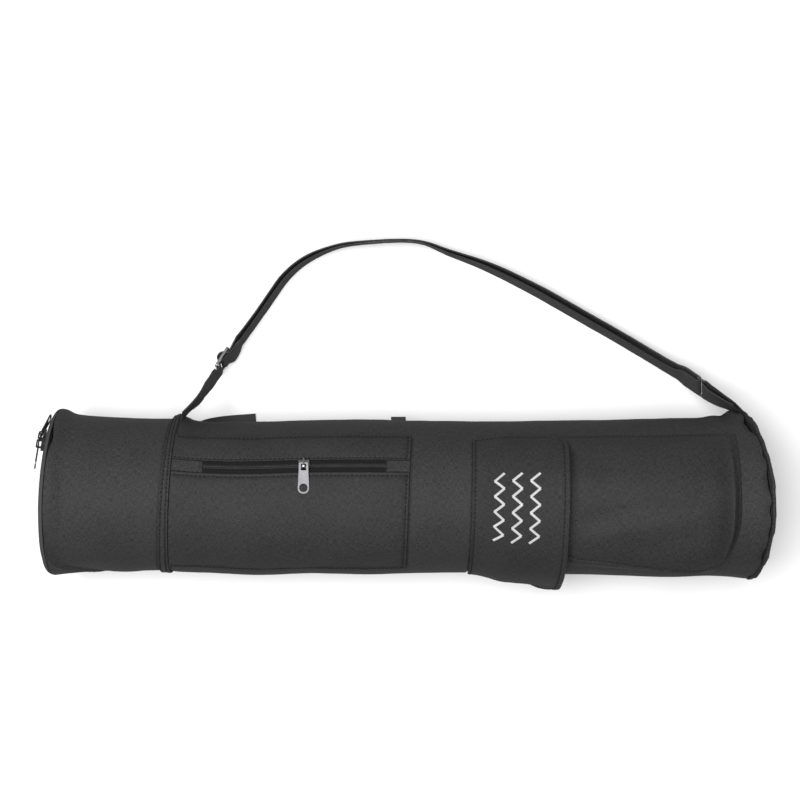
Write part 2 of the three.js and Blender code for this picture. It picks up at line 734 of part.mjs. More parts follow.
function makeStrap() {
  const outer = clearBar + layerPitch;
  const past = sliderAt + barPitch;
  const settle = past + tailLength - 8;
  const strand = (side, low, high, count) => spread(low, high, count).map((distance) => [
    distance, side * strap.halfAt(distance),
  ]);
  const shifted = -clearBar;
  const running = smoothPlan([
    [sliderAt - barPitch - 9, -0.6 * clearBar],
    [sliderAt - barPitch - 2, -clearBar],
    [sliderAt - barPitch + 2, -clearBar + 0.4],
    [sliderAt - 2.6, outer - 0.4],
    [sliderAt + 2.6, outer - 0.4],
    [past - 2, shifted + 0.4],
    [past + 2, shifted],
    [past + 9, shifted + 1.2],
    [settle, strap.halfAt(settle)],
  ], 2.6);
  const back = smoothPlan([
    [settle, -strap.halfAt(settle) - 0.6],
    [past + 9, shifted - 1.7 * layerPitch],
    [past + 2, shifted - 2 * layerPitch],
    [past - 3, shifted - 1.75 * layerPitch],
    [sliderAt + 3.5, -clearBar - 0.5],
    [sliderAt, -clearBar],
  ], 2.6);
  const tail = smoothPlan([
    [sliderAt, clearBar],
    [sliderAt + 2.6, clearBar - 0.4],
    [past - 2, shifted - layerPitch + 0.4],
    [past + 2, shifted - layerPitch],
    [past + 9, shifted - 0.8 * layerPitch],
    [past + tailLength - 10, shifted - 0.2 * layerPitch],
  ], 2.6);
  const plan = [
    ...spread(0, sliderAt - barPitch - 22, 7).map((distance) => [distance, 0]),
    ...running,
    ...strand(1, settle + 12, ringAt - 12, 38),
    ...turnRound(ringAt, 1),
    ...strand(-1, ringAt - 12, settle + 12, 38),
    ...back.slice(0, -1),
    ...turnRound(sliderAt, -1),
    ...tail.slice(1),
  ];
  addPiece('shoulder_strap', ribbon(stationsOn(strap, plan)), 'webbing');
}

function manifoldOf(geometry) {
  const bare = geometry.clone();
  bare.deleteAttribute('uv');
  bare.deleteAttribute('normal');
  const merged = mergeVertices(bare, 1e-4);
  return new wasm.Manifold(new wasm.Mesh({
    numProp: 3,
    vertProperties: Float32Array.from(merged.attributes.position.array),
    triVerts: Uint32Array.from(merged.index.array),
  }));
}

function geometryOf(solid) {
  const mesh = solid.getMesh();
  const geometry = new THREE.BufferGeometry();
  geometry.setAttribute('position', new THREE.Float32BufferAttribute(mesh.vertProperties, 3));
  geometry.setIndex(Array.from(mesh.triVerts));
  geometry.computeVertexNormals();
  return geometry;
}

// Closed outline through corners, each rounded by its own radius.
function outlineOf(corners, steps = 4) {
  const count = corners.length;
  return corners.flatMap(([x, y, radius], i) => {
    const at = new THREE.Vector2(x, y);
    if (!radius) return [at];
    const toward = ([cornerX, cornerY]) => new THREE.Vector2(cornerX, cornerY).sub(at).normalize();
    const before = toward(corners[(i + count - 1) % count]);
    const after = toward(corners[(i + 1) % count]);
    const half = 0.5 * Math.acos(before.dot(after));
    const middle = before.clone().add(after).normalize();
    const centre = at.clone().addScaledVector(middle, radius / Math.sin(half));
    const start = at.clone().addScaledVector(before, radius / Math.tan(half)).sub(centre);
    const end = at.clone().addScaledVector(after, radius / Math.tan(half)).sub(centre);
    const turn = Math.atan2(start.cross(end), start.dot(end));
    return spread(0, turn, steps).map((angle) => {
      const arm = start.clone().rotateAround(new THREE.Vector2(), angle);
      return centre.clone().add(arm);
    });
  });
}

function slab(corners, wall, steps) {
  const shape = new THREE.Shape(outlineOf(corners, steps));
  const geometry = new THREE.ExtrudeGeometry(shape, { depth: wall, bevelEnabled: false });
  return geometry.translate(0, 0, -wall / 2);
}

// Flat plate with holes cut right through it.
function plate(corners, holes, wall, steps) {
  return geometryOf(holes.reduce(
    (solid, hole) => solid.subtract(manifoldOf(slab(hole, 2 * wall, steps))),
    manifoldOf(slab(corners, wall, steps)),
  ));
}

const rectangle = (left, right, low, high, radius = 0) =>
  [[left, low, radius], [right, low, radius], [right, high, radius], [left, high, radius]];

// Flat metal frame with slots, whose length lies along a route and whose height lies across it.
function flatFrame(length, height, slots, slotHeight, wall) {
  const edge = rectangle(-length / 2, length / 2, -height / 2, height / 2, 0.8 * wall);
  const holes = slots.map(([low, high]) => rectangle(low, high, -slotHeight / 2, slotHeight / 2));
  return plate(edge, holes, wall, 3);
}

function placeOn(mesh, { centre, along, across }) {
  const face = new THREE.Vector3().crossVectors(along, across);
  mesh.applyMatrix4(new THREE.Matrix4().makeBasis(along, across, face).setPosition(centre));
}

function makeHardware() {
  const slotHeight = webWidth + 2 * railGap;
  const height = slotHeight + 2 * barSize;
  const half = 0.5 * barSize;
  const slots = [[-barPitch + half, -half], [half, barPitch - half]];
  const slider = flatFrame(2 * barPitch + barSize, height, slots, slotHeight, barSize);
  placeOn(addPiece('strap_slider', slider, 'metal'), strap.frameAt(sliderAt));
  const open = 0.5 * (ringPitch - barSize);
  const ring = flatFrame(ringPitch + barSize, height, [[-open, open]], slotHeight, barSize);
  placeOn(addPiece('strap_ring', ring, 'metal'), strap.frameAt(ringAt + 0.5 * ringPitch));
}

function makeAnchor() {
  const end = strap.frameAt(ringAt + ringPitch);
  const root = skin(anchorPlace, anchorAngle, anchorLift);
  const start = end.centre.clone().addScaledVector(end.along, 7);
  const points = [end.centre, start, start.clone().lerp(root, 0.55), root];
  const lean = strapRoute[strapRoute.length - 1].lean;
  const anchor = makeRoute(points, [lean, lean, lean, 12], [0, 3.4, 2.7, 0.5 * layerPitch], []);
  const strand = (side) => spread(anchor.length, 9, 6).map((distance) => [
    distance, side * anchor.halfAt(distance),
  ]);
  const plan = [
    ...strand(1),
    ...turnRound(0, -1).map(([distance, offset]) => [distance, -offset]),
    ...strand(-1).reverse(),
  ];
  addPiece('anchor_loop', ribbon(stationsOn(anchor, plan)), 'webbing');
}

// Free end of webbing that comes off the tube beside the band and lies on the ground, and a loop further along.
function makeRearPieces() {
  const start = skin(bandPlace + 1.8, tabAngle, seat + webWall);
  const rest = 0.5 * webWall + floorGap;
  const side = bodyRadius + tabEdgeOut - 0.5 * webWidth;
  const mark = (share, back, height) => new THREE.Vector3(
    start.x + share * tabDrop, side - back * tabSkew, THREE.MathUtils.lerp(rest, start.z, height),
  );
  const points = [
    start,
    mark(0.25, 1.25, 0.86),
    mark(0.65, 0.8, 0.27),
    mark(1, 0.45, 0.012),
    new THREE.Vector3(start.x + tabDrop + tabLength, side, rest),
  ];
  const route = makeRoute(points, [-tabAngle, 48, 76, 89, 90], points.map(() => 0), []);
  const plan = spread(0, route.length, 16).map((distance) => [distance, 0]);
  addPiece('rear_tab', ribbon(stationsOn(route, plan)), 'webbing');

  const high = skin(loopPlace, loopHighAngle, seat + 0.6);
  const low = skin(loopPlace, loopLowAngle, seat + 0.6);
  const tip = skin(loopPlace, 0).y + loopReach - 0.5 * webWall;
  const middle = 0.5 * (high.z + low.z) + 2;
  const curve = new THREE.CatmullRomCurve3([
    high,
    new THREE.Vector3(loopPlace, tip - 3.4, middle + 4.2),
    new THREE.Vector3(loopPlace, tip - 0.5, middle + 1.5),
    new THREE.Vector3(loopPlace, tip - 0.5, middle - 1.5),
    new THREE.Vector3(loopPlace, tip - 3.4, middle - 4.2),
    low,
  ], false, 'centripetal');
  const across = new THREE.Vector3(1, 0, 0);
  const stations = spread(0, 1, 14).map((part) => ({
    centre: curve.getPointAt(part),
    across,
    face: new THREE.Vector3().crossVectors(across, curve.getTangentAt(part)).normalize(),
  }));
  addPiece('rear_loop', ribbon(stations, loopWidth), 'webbing');
}

// Slider body with the arch that the pull's pin turns under. X is along the pull, Z is out of the zip.
function sliderGeometry(bodyAlong, bodyAcross) {
  const body = new THREE.BoxGeometry(bodyAlong, bodyAcross, sliderHeight, 1, 1, 1);
  body.translate(0, 0, sliderHeight / 2);
  const half = archLength / 2;
  const top = sliderHeight + archRoom + archBar;
  const edge = [
    [-half, 0.5 * sliderHeight, 0],
    [half, 0.5 * sliderHeight, 0],
    [half, top, archBar],
    [-half, top, archBar],
  ];
  const room = rectangle(-half + archBar, half - archBar, sliderHeight, top - archBar);
  const arch = plate(edge, [room], archWidth, 2);
  arch.rotateX(Math.PI / 2);
  return geometryOf(manifoldOf(body).add(manifoldOf(arch)));
}

// Pull plate, its pin centre at the origin and its length along +X.
function pullGeometry() {
  const start = -pinSize / 2;
  const end = start + pullLength;
  const topHalf = pullTopWidth / 2;
  const endHalf = pullEndWidth / 2;
  const edge = [
    [start, -topHalf, 1.4],
    [end, -endHalf, 0.9 * endHalf],
    [end, endHalf, 0.9 * endHalf],
    [start, topHalf, 1.4],
  ];
  const windowStart = pinSize / 2;
  const window = rectangle(windowStart, windowStart + windowLength, -windowWidth / 2, windowWidth / 2);
  const holeCentre = end - endHalf;
  const holeHalf = pullHole / 2;
  const hole = rectangle(holeCentre - holeHalf, holeCentre + holeHalf, -holeHalf, holeHalf, 0.92 * holeHalf);
  return plate(edge, [window, hole], pullWall, 4);
}

// Slider and pull at a place: along is the pull's direction, out is the direction out of the zip.
function makeSlider(prefix, place, along, out, lengthAlongPull) {
  const across = new THREE.Vector3().crossVectors(out, along).normalize();
  const basis = new THREE.Matrix4().makeBasis(along, across, out).setPosition(place);
  const sizes = lengthAlongPull ? [sliderLength, sliderWidth] : [sliderWidth, sliderLength];
  addPiece(prefix.slider, sliderGeometry(...sizes), 'metal').applyMatrix4(basis);
  const pull = pullGeometry();
  pull.rotateY(rad(prefix.droop));
  pull.translate(0, 0, sliderHeight + archRoom - 0.5 * pinSize - seat);
  addPiece(prefix.pull, pull, 'metal').applyMatrix4(basis);
}

function makeSliders() {
  const low = skin(pocketSliderPlace, zipAngle - 1);
  const high = skin(pocketSliderPlace, zipAngle + 1);
  const down = new THREE.Vector3().subVectors(high, low).normalize();
  const out = new THREE.Vector3().crossVectors(down, new THREE.Vector3(1, 0, 0)).normalize();
  const place = skin(pocketSliderPlace, zipAngle, pocketCoilTop + seat);
  makeSlider({ slider: 'pocket_slider', pull: 'pocket_pull', droop: pocketDroop }, place, down, out, false);

  const rimReach = bodyRadius * sections[0].wide - coilDepth;
  const apart = THREE.MathUtils.radToDeg((sliderLength + capSliderApart) / rimReach);
  for (const { side, turn: share, uphill, droop } of capSliders) {
    const angle = capSliderAngle + share * apart;
    const turn = rad(angle);
    const along = new THREE.Vector3(0, -Math.sin(turn), Math.cos(turn)).multiplyScalar(uphill);
    const facing = new THREE.Vector3(0, Math.cos(turn), Math.sin(turn)).multiplyScalar(Math.sin(rad(capLean)));
    facing.x = -Math.cos(rad(capLean));
    const spot = rimOf(capPlane(angle) - coilOut - coilHeight - capSliderGap, angle, -coilDepth);
    const names = { slider: `cap_slider_${side}`, pull: `cap_pull_${side}`, droop };
    makeSlider(names, spot, along, facing, true);
  }
}

makeBody();
makeBand();
makeCap();
makeBase();
makeZipPocket();
makeGussetPocket();
makeFlap();
makeStrap();
makeHardware();
makeAnchor();
makeRearPieces();
makeSliders();

export default bag;
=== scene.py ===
import math

import bmesh
import bpy
import numpy as np
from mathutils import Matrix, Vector


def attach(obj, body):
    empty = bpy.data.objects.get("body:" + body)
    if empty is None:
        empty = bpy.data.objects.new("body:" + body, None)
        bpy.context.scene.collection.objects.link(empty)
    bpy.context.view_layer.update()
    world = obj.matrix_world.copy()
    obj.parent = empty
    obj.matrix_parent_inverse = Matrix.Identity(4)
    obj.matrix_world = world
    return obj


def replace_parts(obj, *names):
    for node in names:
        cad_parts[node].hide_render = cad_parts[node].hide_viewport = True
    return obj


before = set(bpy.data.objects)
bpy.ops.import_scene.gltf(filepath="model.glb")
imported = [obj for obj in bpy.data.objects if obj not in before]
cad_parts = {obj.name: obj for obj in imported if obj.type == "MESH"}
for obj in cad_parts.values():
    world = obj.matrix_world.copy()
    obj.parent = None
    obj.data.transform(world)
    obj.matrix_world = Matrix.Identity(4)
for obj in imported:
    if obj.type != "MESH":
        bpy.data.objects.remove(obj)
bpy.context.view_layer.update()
scene = bpy.context.scene
print("frame loaded", len(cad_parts), "nodes")

# Lengths are in millimetres until a mesh is made, and angles go round the bag from +Y over the top.
bag = {
    "length": 700, "radius": 76, "wall": 2.0, "press": 4, "seat": 0.35, "under": 1.3,
    "capSkew": 3.3, "capDepth": 4, "basePull": 11, "baseSkew": 3, "binding": 3.6,
}
mmPerDegree = 1.33

# place along the length, half width and sideways shift as shares of the radius
sections = [
    (0.0, 1.072, 0.071), (0.014, 1.064, 0.078), (0.03, 1.034, 0.056), (0.06, 1.017, 0.044),
    (0.1, 1.012, 0.034), (0.136, 0.997, 0.038), (0.17, 1.003, 0.03), (0.21, 0.989, 0.006),
    (0.287, 1.004, -0.013), (0.363, 1.0, 0.006), (0.439, 1.009, 0.005), (0.533, 0.997, 0.004),
    (0.625, 0.986, 0.004), (0.707, 1.003, 0.0), (0.774, 1.013, 0.001), (0.864, 1.032, -0.003),
    (0.92, 1.03, 0.006), (0.955, 1.045, 0.012), (0.981, 1.066, 0.018), (1.0, 1.07, 0.018),
]

# folds and dents: place along the length, angle, rise as a share of the radius,
# reach as a share of the length, reach round the bag in degrees
folds = [
    (0.181, 2, 0.058, 0.011, 15), (0.013, 8, 0.024, 0.012, 22), (0.934, 10, 0.03, 0.012, 24),
    (0.9595, -3, 0.066, 0.0085, 13), (0.974, -8, 0.02, 0.01, 14), (0.055, 165, -0.022, 0.028, 16),
    (0.968, 150, -0.02, 0.02, 20),
]


def rowValue(rows, column, at):
    places = np.array([row[0] for row in rows], float)
    values = np.array([row[column] for row in rows], float)
    at = np.clip(np.asarray(at, float), places[0], places[-1])
    i = np.clip(np.searchsorted(places, at, side="right") - 1, 0, len(places) - 2)
    slopes = np.gradient(values, places, edge_order=1)
    slopes[1:-1] = (values[2:] - values[:-2]) / (places[2:] - places[:-2])
    span = places[i + 1] - places[i]
    s = (at - places[i]) / span
    s2, s3 = s * s, s * s * s
    return ((2 * s3 - 3 * s2 + 1) * values[i] + (s3 - 2 * s2 + s) * span * slopes[i]
            + (3 * s2 - 2 * s3) * values[i + 1] + (s3 - s2) * span * slopes[i + 1])


def smoothStep(x, low, high):
    t = np.clip((np.asarray(x, float) - low) / (high - low), 0, 1)
    return t * t * (3 - 2 * t)


def softNoise(u, v, seed):
    lattice = np.random.default_rng(seed).uniform(-1, 1, (64, 64))
    u, v = np.broadcast_arrays(np.asarray(u, float), np.asarray(v, float))
    i, j = np.floor(u).astype(int), np.floor(v).astype(int)
    fu, fv = u - i, v - j
    fu, fv = fu * fu * (3 - 2 * fu), fv * fv * (3 - 2 * fv)
    low = lattice[i % 64, j % 64] * (1 - fv) + lattice[i % 64, (j + 1) % 64] * fv
    high = lattice[(i + 1) % 64, j % 64] * (1 - fv) + lattice[(i + 1) % 64, (j + 1) % 64] * fv
    return low * (1 - fu) + high * fu


def capPlane(angle):
    return -bag["length"] / 2 + bag["capSkew"] * np.cos(np.radians(angle))


def basePlane(angle):
    c = np.cos(np.radians(angle))
    return bag["length"] / 2 - bag["basePull"] * c * c - bag["baseSkew"] * c


def roundNoise(x, angle, alongSize, aroundCount, seed):
    # noise that closes on itself round the bag
    turn = np.radians(angle)
    blend = smoothStep(np.cos(turn), -0.3, 0.3)
    first = softNoise(x / alongSize, (np.mod(angle, 360) / 360) * aroundCount, seed)
    second = softNoise(x / alongSize, (np.mod(angle + 180, 360) / 360) * aroundCount + 31, seed + 1)
    return first * (1 - blend) + second * blend


# angle, place of the crease that crosses the lower corner of the zipped end
cornerCrease = [(98, -355), (116, -352), (133, -349), (150, -341), (165, -325), (178, -303)]


def cornerFold(x, angle):
    place = rowValue(cornerCrease, 1, angle)
    ahead = rowValue(cornerCrease, 1, np.clip(angle + 1, 98, 178))
    distance = (x - place) / np.hypot(1, (ahead - place) / mmPerDegree)
    window = smoothStep(angle, 104, 124) * (1 - smoothStep(angle, 172, 186))
    ridge = 2.2 * np.exp(-((distance / 2.4) ** 2)) - 1.7 * np.exp(-(((distance - 4.4) / 3.2) ** 2))
    return window * (ridge + 1.3 * (1 - np.exp(-(np.clip(-distance, 0, None) / 5) ** 2)))


def wrinkles(x, angle):
    fromCap = x - capPlane(angle)
    fromBase = basePlane(angle) - x
    rise = 0.75 * roundNoise(x, angle, 95, 7, 3) + 0.32 * roundNoise(x, angle, 34, 15, 11)
    rise += 0.14 * roundNoise(x, angle, 13, 30, 17)
    rise += np.exp(-np.clip(fromCap, 0, None) / 13) * 0.8 * roundNoise(x, angle, 40, 44, 23)
    rise += np.exp(-np.clip(fromBase, 0, None) / 17) * 1.2 * roundNoise(x, angle, 40, 38, 29)
    return rise + cornerFold(x, np.mod(angle, 360))


def skin(x, angle, lift=0.0, relief=1.0):
    x, angle, lift = np.broadcast_arrays(
        np.asarray(x, float), np.asarray(angle, float), np.asarray(lift, float))
    at = np.clip(x / bag["length"] + 0.5, 0, 1)
    radius = bag["radius"] * rowValue(sections, 1, at)
    reach = radius + lift
    for place, foldAngle, rise, size, turn in folds:
        along = (x / bag["length"] + 0.5 - place) / size
        across = (np.mod(angle - foldAngle + 180, 360) - 180) / turn
        reach = reach + bag["radius"] * rise * np.exp(-along * along - across * across)
    reach = reach + relief * wrinkles(x, angle)
    y = bag["radius"] * rowValue(sections, 2, at) + reach * np.cos(np.radians(angle))
    z = radius - bag["press"] + reach * np.sin(np.radians(angle))
    low = np.maximum(bag["under"] - lift, 0.05)
    z = low + np.logaddexp(0, (z - low) / 0.8) * 0.8
    return np.stack([x, y, z], axis=-1)


def addMesh(name, points, faces, uv=None, slotName="canvas", material=None, body="bag"):
    mesh = bpy.data.meshes.new(name)
    mesh.from_pydata((np.asarray(points) * 0.001).tolist(), [], faces)
    mesh.update()
    if uv is not None:
        layer = mesh.uv_layers.new(name="cloth")
        loops = np.empty(len(mesh.loops), np.int32)
        mesh.loops.foreach_get("vertex_index", loops)
        layer.data.foreach_set("uv", (np.asarray(uv)[loops] * 0.001).ravel())
    mesh.polygons.foreach_set("use_smooth", [True] * len(mesh.polygons))
    mesh.materials.append(material)
    obj = bpy.data.objects.new(name, mesh)
    scene.collection.objects.link(obj)
    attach(obj, body)
    return obj


def gridFaces(rows, columns, start=0, wrap=False, flip=False):
    i = np.arange(rows - 1)[:, None]
    j = np.arange(columns if wrap else columns - 1)[None, :]
    k = (j + 1) % columns
    row, below = i * columns, (i + 1) * columns
    faces = np.stack([row + j, below + j, below + k, row + k], -1).reshape(-1, 4) + start
    return (faces[:, ::-1] if flip else faces).tolist()


def wallMesh(name, outer, inner, uvGrid, wrap=False, **look):
    # closed wall of cloth between two grids of points
    rows, columns = outer.shape[:2]
    count = rows * columns
    faces = gridFaces(rows, columns, 0, wrap) + gridFaces(rows, columns, count, wrap, True)

    def strip(a, b):
        return [[a[k], a[k + 1], b[k + 1], b[k]] for k in range(len(a) - 1)]

    grid = np.arange(count).reshape(rows, columns)
    ring = [0] if wrap else []
    first = np.append(grid[0], grid[0][ring]).tolist()
    last = np.append(grid[-1], grid[-1][ring]).tolist()
    faces += strip(first, [v + count for v in first])
    faces += strip([v + count for v in last], last)
    if not wrap:
        left, right = grid[:, 0].tolist(), grid[:, -1].tolist()
        faces += strip([v + count for v in left], left)
        faces += strip(right, [v + count for v in right])
    points = np.concatenate([outer.reshape(-1, 3), inner.reshape(-1, 3)])
    uv = np.concatenate([uvGrid.reshape(-1, 2)] * 2)
    obj = addMesh(name, points, faces, uv, **look)
    mesh = bmesh.new()
    mesh.from_mesh(obj.data)
    bmesh.ops.recalc_face_normals(mesh, faces=mesh.faces)
    mesh.to_mesh(obj.data)
    mesh.free()
    return obj


def capsules(name, centres, alongs, ups, length, radius, flat=0.8, sides=6, **look):
    # many small rounded rods, as stitches or zip teeth, in one mesh
    rings = [(-0.42, 0.75), (-0.2, 1.0), (0.2, 1.0), (0.42, 0.75)]
    centres, alongs, ups = (np.asarray(a, float) for a in (centres, alongs, ups))
    alongs = alongs / np.linalg.norm(alongs, axis=1, keepdims=True)
    sideways = np.cross(ups, alongs)
    sideways /= np.linalg.norm(sideways, axis=1, keepdims=True)
    ups = np.cross(alongs, sideways)
    points, faces = [], []
    local = [(-0.5, 0, 0)]
    for along, size in rings:
        for k in range(sides):
            turn = 2 * math.pi * k / sides
            local.append((along, size * math.cos(turn), size * math.sin(turn)))
    local.append((0.5, 0, 0))
    local = np.array(local)
    shape = [[0, 1 + (k + 1) % sides, 1 + k] for k in range(sides)]
    for ring in range(len(rings) - 1):
        base = 1 + ring * sides
        for k in range(sides):
            n = (k + 1) % sides
            shape.append([base + k, base + n, base + sides + n, base + sides + k])
    last = len(local) - 1
    shape += [[last, last - sides + k, last - sides + (k + 1) % sides] for k in range(sides)]
    for i in range(len(centres)):
        points.append(centres[i] + local[:, :1] * length * alongs[i]
                      + local[:, 1:2] * radius * sideways[i] + local[:, 2:] * radius * flat * ups[i])
        faces += [[v + i * len(local) for v in face] for face in shape]
    return addMesh(name, np.concatenate(points), faces, None, **look)


def lengthsOf(points):
    # length from the start at each point of a line
    return np.concatenate([[0], np.cumsum(np.linalg.norm(np.diff(points, axis=0), axis=1))])


def pointsAt(at, lengths, points):
    return np.stack([np.interp(at, lengths, points[:, k]) for k in range(points.shape[1])], -1)


stitch = {"pitch": 4.1, "length": 2.9, "radius": 0.48}


def stitchPlaces(points):
    # evenly spaced places on a line, with their directions
    lengths = lengthsOf(points)
    count = max(1, int(lengths[-1] / stitch["pitch"]))
    at = (np.arange(count) + 0.5) * lengths[-1] / count
    ahead = pointsAt(np.minimum(at + 0.6, lengths[-1]), lengths, points)
    back = pointsAt(np.maximum(at - 0.6, 0), lengths, points)
    return pointsAt(at, lengths, points), ahead - back


def sew(name, top, under):
    # stitches along a line on the cloth; under is the same line a little deeper, which gives the way out
    places, ways = stitchPlaces(top)
    deeper, _ = stitchPlaces(under)
    count = min(len(places), len(deeper))
    ups = places[:count] - deeper[:count]
    capsules(name, places[:count], ways[:count], ups, stitch["length"], stitch["radius"],
             slotName="webbing", material=thread)


def edgeSpacing(width, step, lines=(), rounding=1.3):
    places = [0, 0.12, 0.35, 0.7, rounding]
    for line in lines:
        places += [line - 0.9, line - 0.45, line, line + 0.45, line + 0.9]
    places = [p for p in places if p < 0.45 * width]
    inner = np.arange(max(places) + step, width - max(places) - 0.5 * step, step)
    return np.array(sorted(set(np.round([*places, *inner, *[width - p for p in places]], 4))))


def rolled(distance, rounding=1.3):
    near = np.clip(distance / rounding, 0, 1)
    return np.sqrt(np.clip(1 - (1 - near) ** 2, 0, 1))


def groove(distance, lines, depth=0.7, size=0.85):
    dip = np.zeros_like(distance)
    for line in lines:
        dip += depth * np.exp(-(((distance - line) / size) ** 2))
    return dip


def edgeAt(edge, angles):
    # an edge is one place along the bag, or a function of the angle
    return edge(angles) if callable(edge) else np.full_like(angles, edge)


def skinPatch(name, piece, material, slotName="canvas"):
    # cloth patch on the bag, with rolled edges, sewn grooves and a soft rise in the middle
    low, high = piece["low"], piece["high"]
    radius = bag["radius"] + piece["lift"]
    tall = math.radians(high - low) * radius
    step, lines = piece.get("step", 3.2), piece.get("lines", ())
    down = edgeSpacing(tall, step, piece.get("lowLines", lines))
    angles = low + np.degrees(down / radius)
    left, right = edgeAt(piece["left"], angles), edgeAt(piece["right"], angles)
    wide = float(np.mean(right - left))
    shares = edgeSpacing(wide, step, lines) / wide
    x = left[:, None] + (right - left)[:, None] * shares[None, :]
    a = np.repeat(angles[:, None], len(shares), axis=1)
    fromLeft, fromRight = x - left[:, None], right[:, None] - x
    fromLow, fromHigh = down[:, None] + 0 * x, (tall - down)[:, None] + 0 * x
    edges = {"left": fromLeft, "right": fromRight, "low": fromLow, "high": fromHigh}
    rounded = np.ones_like(x)
    dips = np.zeros_like(x)
    for key, distance in edges.items():
        if key not in piece.get("flatEdges", ()):
            rounded *= rolled(distance, piece.get("round", 1.0))
        for line in piece.get(key + "Stitch", ()):
            dips += groove(distance, [line])
    inside = np.minimum(np.minimum(fromLeft, fromRight), np.minimum(fromLow, fromHigh))
    puff = piece.get("puff", 0.6) * smoothStep(inside, 2, piece.get("puffReach", 16))
    seat, seed, arc = bag["seat"], piece["seed"], a * 1.32
    ripple = softNoise(x / 26, arc / 17, seed) + 0.5 * softNoise(x / 9, arc / 8, seed + 5)
    ripple *= piece.get("ripple", 0.35) * smoothStep(inside, 0, 5)
    lift = seat + (piece["lift"] - seat) * rounded + puff + ripple - dips * rounded
    outer = skin(x, a, lift)
    inner = skin(x, a, seat - 0.3)
    uv = np.stack([x, a * math.radians(1) * bag["radius"]], -1)
    return wallMesh(name, outer, inner, uv, material=material, slotName=slotName)


def lineOnSkin(x, angle, lift):
    x, angle = np.broadcast_arrays(np.asarray(x, float), np.asarray(angle, float))
    return skin(x, angle, lift), skin(x, angle, lift - 1)


# Materials: one weave for all cloth, and one grain for metal, plastic, thread and paper
class ShaderGroup:
    def __init__(self, name, inputs):
        self.tree = bpy.data.node_groups.new(name, "ShaderNodeTree")
        for label in ("Dark", "Light"):
            self.tree.interface.new_socket(label, in_out="INPUT", socket_type="NodeSocketColor")
        for label in inputs:
            self.tree.interface.new_socket(label, in_out="INPUT", socket_type="NodeSocketFloat")
        self.tree.interface.new_socket("Color", in_out="OUTPUT", socket_type="NodeSocketColor")
        for label in ("Roughness", "Height"):
            self.tree.interface.new_socket(label, in_out="OUTPUT", socket_type="NodeSocketFloat")
        self.given = self.tree.nodes.new("NodeGroupInput").outputs
        self.out = self.tree.nodes.new("NodeGroupOutput").inputs

    def add(self, kind, inputs=None, **settings):
        node = self.tree.nodes.new(kind)
        for key, value in settings.items():
            setattr(node, key, value)
        for key, value in (inputs or {}).items():
            if isinstance(value, bpy.types.NodeSocket):
                self.tree.links.new(value, node.inputs[key])
            else:
                node.inputs[key].default_value = value
        return node

    def compute(self, operation, a, b=0.0, **settings):
        return self.add("ShaderNodeMath", {0: a, 1: b}, operation=operation, **settings).outputs[0]

    def noise(self, vector, scale, detail, roughness=0.5):
        inputs = {"Vector": vector, "Scale": scale, "Detail": detail, "Roughness": roughness}
        return self.add("ShaderNodeTexNoise", inputs).outputs["Fac"]

    def blend(self, factor, dark, light):
        return self.add("ShaderNodeMix", {0: factor, 6: dark, 7: light}, data_type="RGBA").outputs[2]

    def finish(self, colour, roughness, height):
        for label, socket in (("Color", colour), ("Roughness", roughness), ("Height", height)):
            self.tree.links.new(socket, self.out[label])
        return self.tree


def makeWeave():
    # plain weave: over and under threads, uneven thread by thread, with painted shade in the hollows between
    # the threads
    weave = ShaderGroup("weave", (
        "Roughness", "Threads Along", "Threads Across", "Long Streaks", "Fine Streaks",
        "Contrast", "Blotches", "Painted Hollow Shade"))
    given, compute = weave.given, weave.compute
    uv = weave.add("ShaderNodeUVMap", uv_map="cloth").outputs[0]
    split = weave.add("ShaderNodeSeparateXYZ", {0: uv})
    wander = compute("MULTIPLY", weave.noise(uv, 220.0, 2.0), 0.55)
    u = compute("ADD", compute("MULTIPLY", split.outputs[0], given["Threads Along"]), wander)
    v = compute("ADD", compute("MULTIPLY", split.outputs[1], given["Threads Across"]), wander)
    warp = compute("ABSOLUTE", compute("SINE", compute("MULTIPLY", u, math.pi)))
    weft = compute("ABSOLUTE", compute("SINE", compute("MULTIPLY", v, math.pi)))
    over = compute("PINGPONG", compute("ADD", compute("FLOOR", u), compute("FLOOR", v)), 1.0)
    crossing = compute("MULTIPLY", compute("MULTIPLY", warp, weft), 0.7)
    height = compute("ADD", crossing, compute("MULTIPLY", over, 0.3))

    def streaks(along, across, shift):
        scale = weave.add("ShaderNodeCombineXYZ", {0: given[along], 1: given[across], 2: 1.0}).outputs[0]
        inputs = {"Vector": uv, "Location": (shift, shift, 0), "Scale": scale}
        moved = weave.add("ShaderNodeMapping", inputs).outputs[0]
        return compute("MULTIPLY", weave.noise(moved, 1.0, 3.0, 0.62), 0.5)

    lengthwise = streaks("Long Streaks", "Fine Streaks", 3.1)
    crosswise = streaks("Fine Streaks", "Long Streaks", 9.7)
    grain = compute("ADD", lengthwise, crosswise)
    blotch = weave.noise(uv, 26.0, 4.0)
    toneAndShade = compute("MULTIPLY", compute("SUBTRACT", grain, 0.5), given["Contrast"])
    # painted shade: the thread tops are lighter and the hollows between the threads darker
    for part, middle, label in ((blotch, 0.5, "Blotches"), (height, 0.45, "Painted Hollow Shade")):
        toneAndShade = compute("ADD", toneAndShade, compute("MULTIPLY", compute("SUBTRACT", part, middle), given[label]))
    toneAndShade = compute("ADD", toneAndShade, 0.5, use_clamp=True)
    colour = weave.blend(toneAndShade, given["Dark"], given["Light"])
    roughness = compute("ADD", compute("MULTIPLY", blotch, 0.08), given["Roughness"])
    return weave.finish(colour, roughness, compute("ADD", height, compute("MULTIPLY", grain, 1.2)))


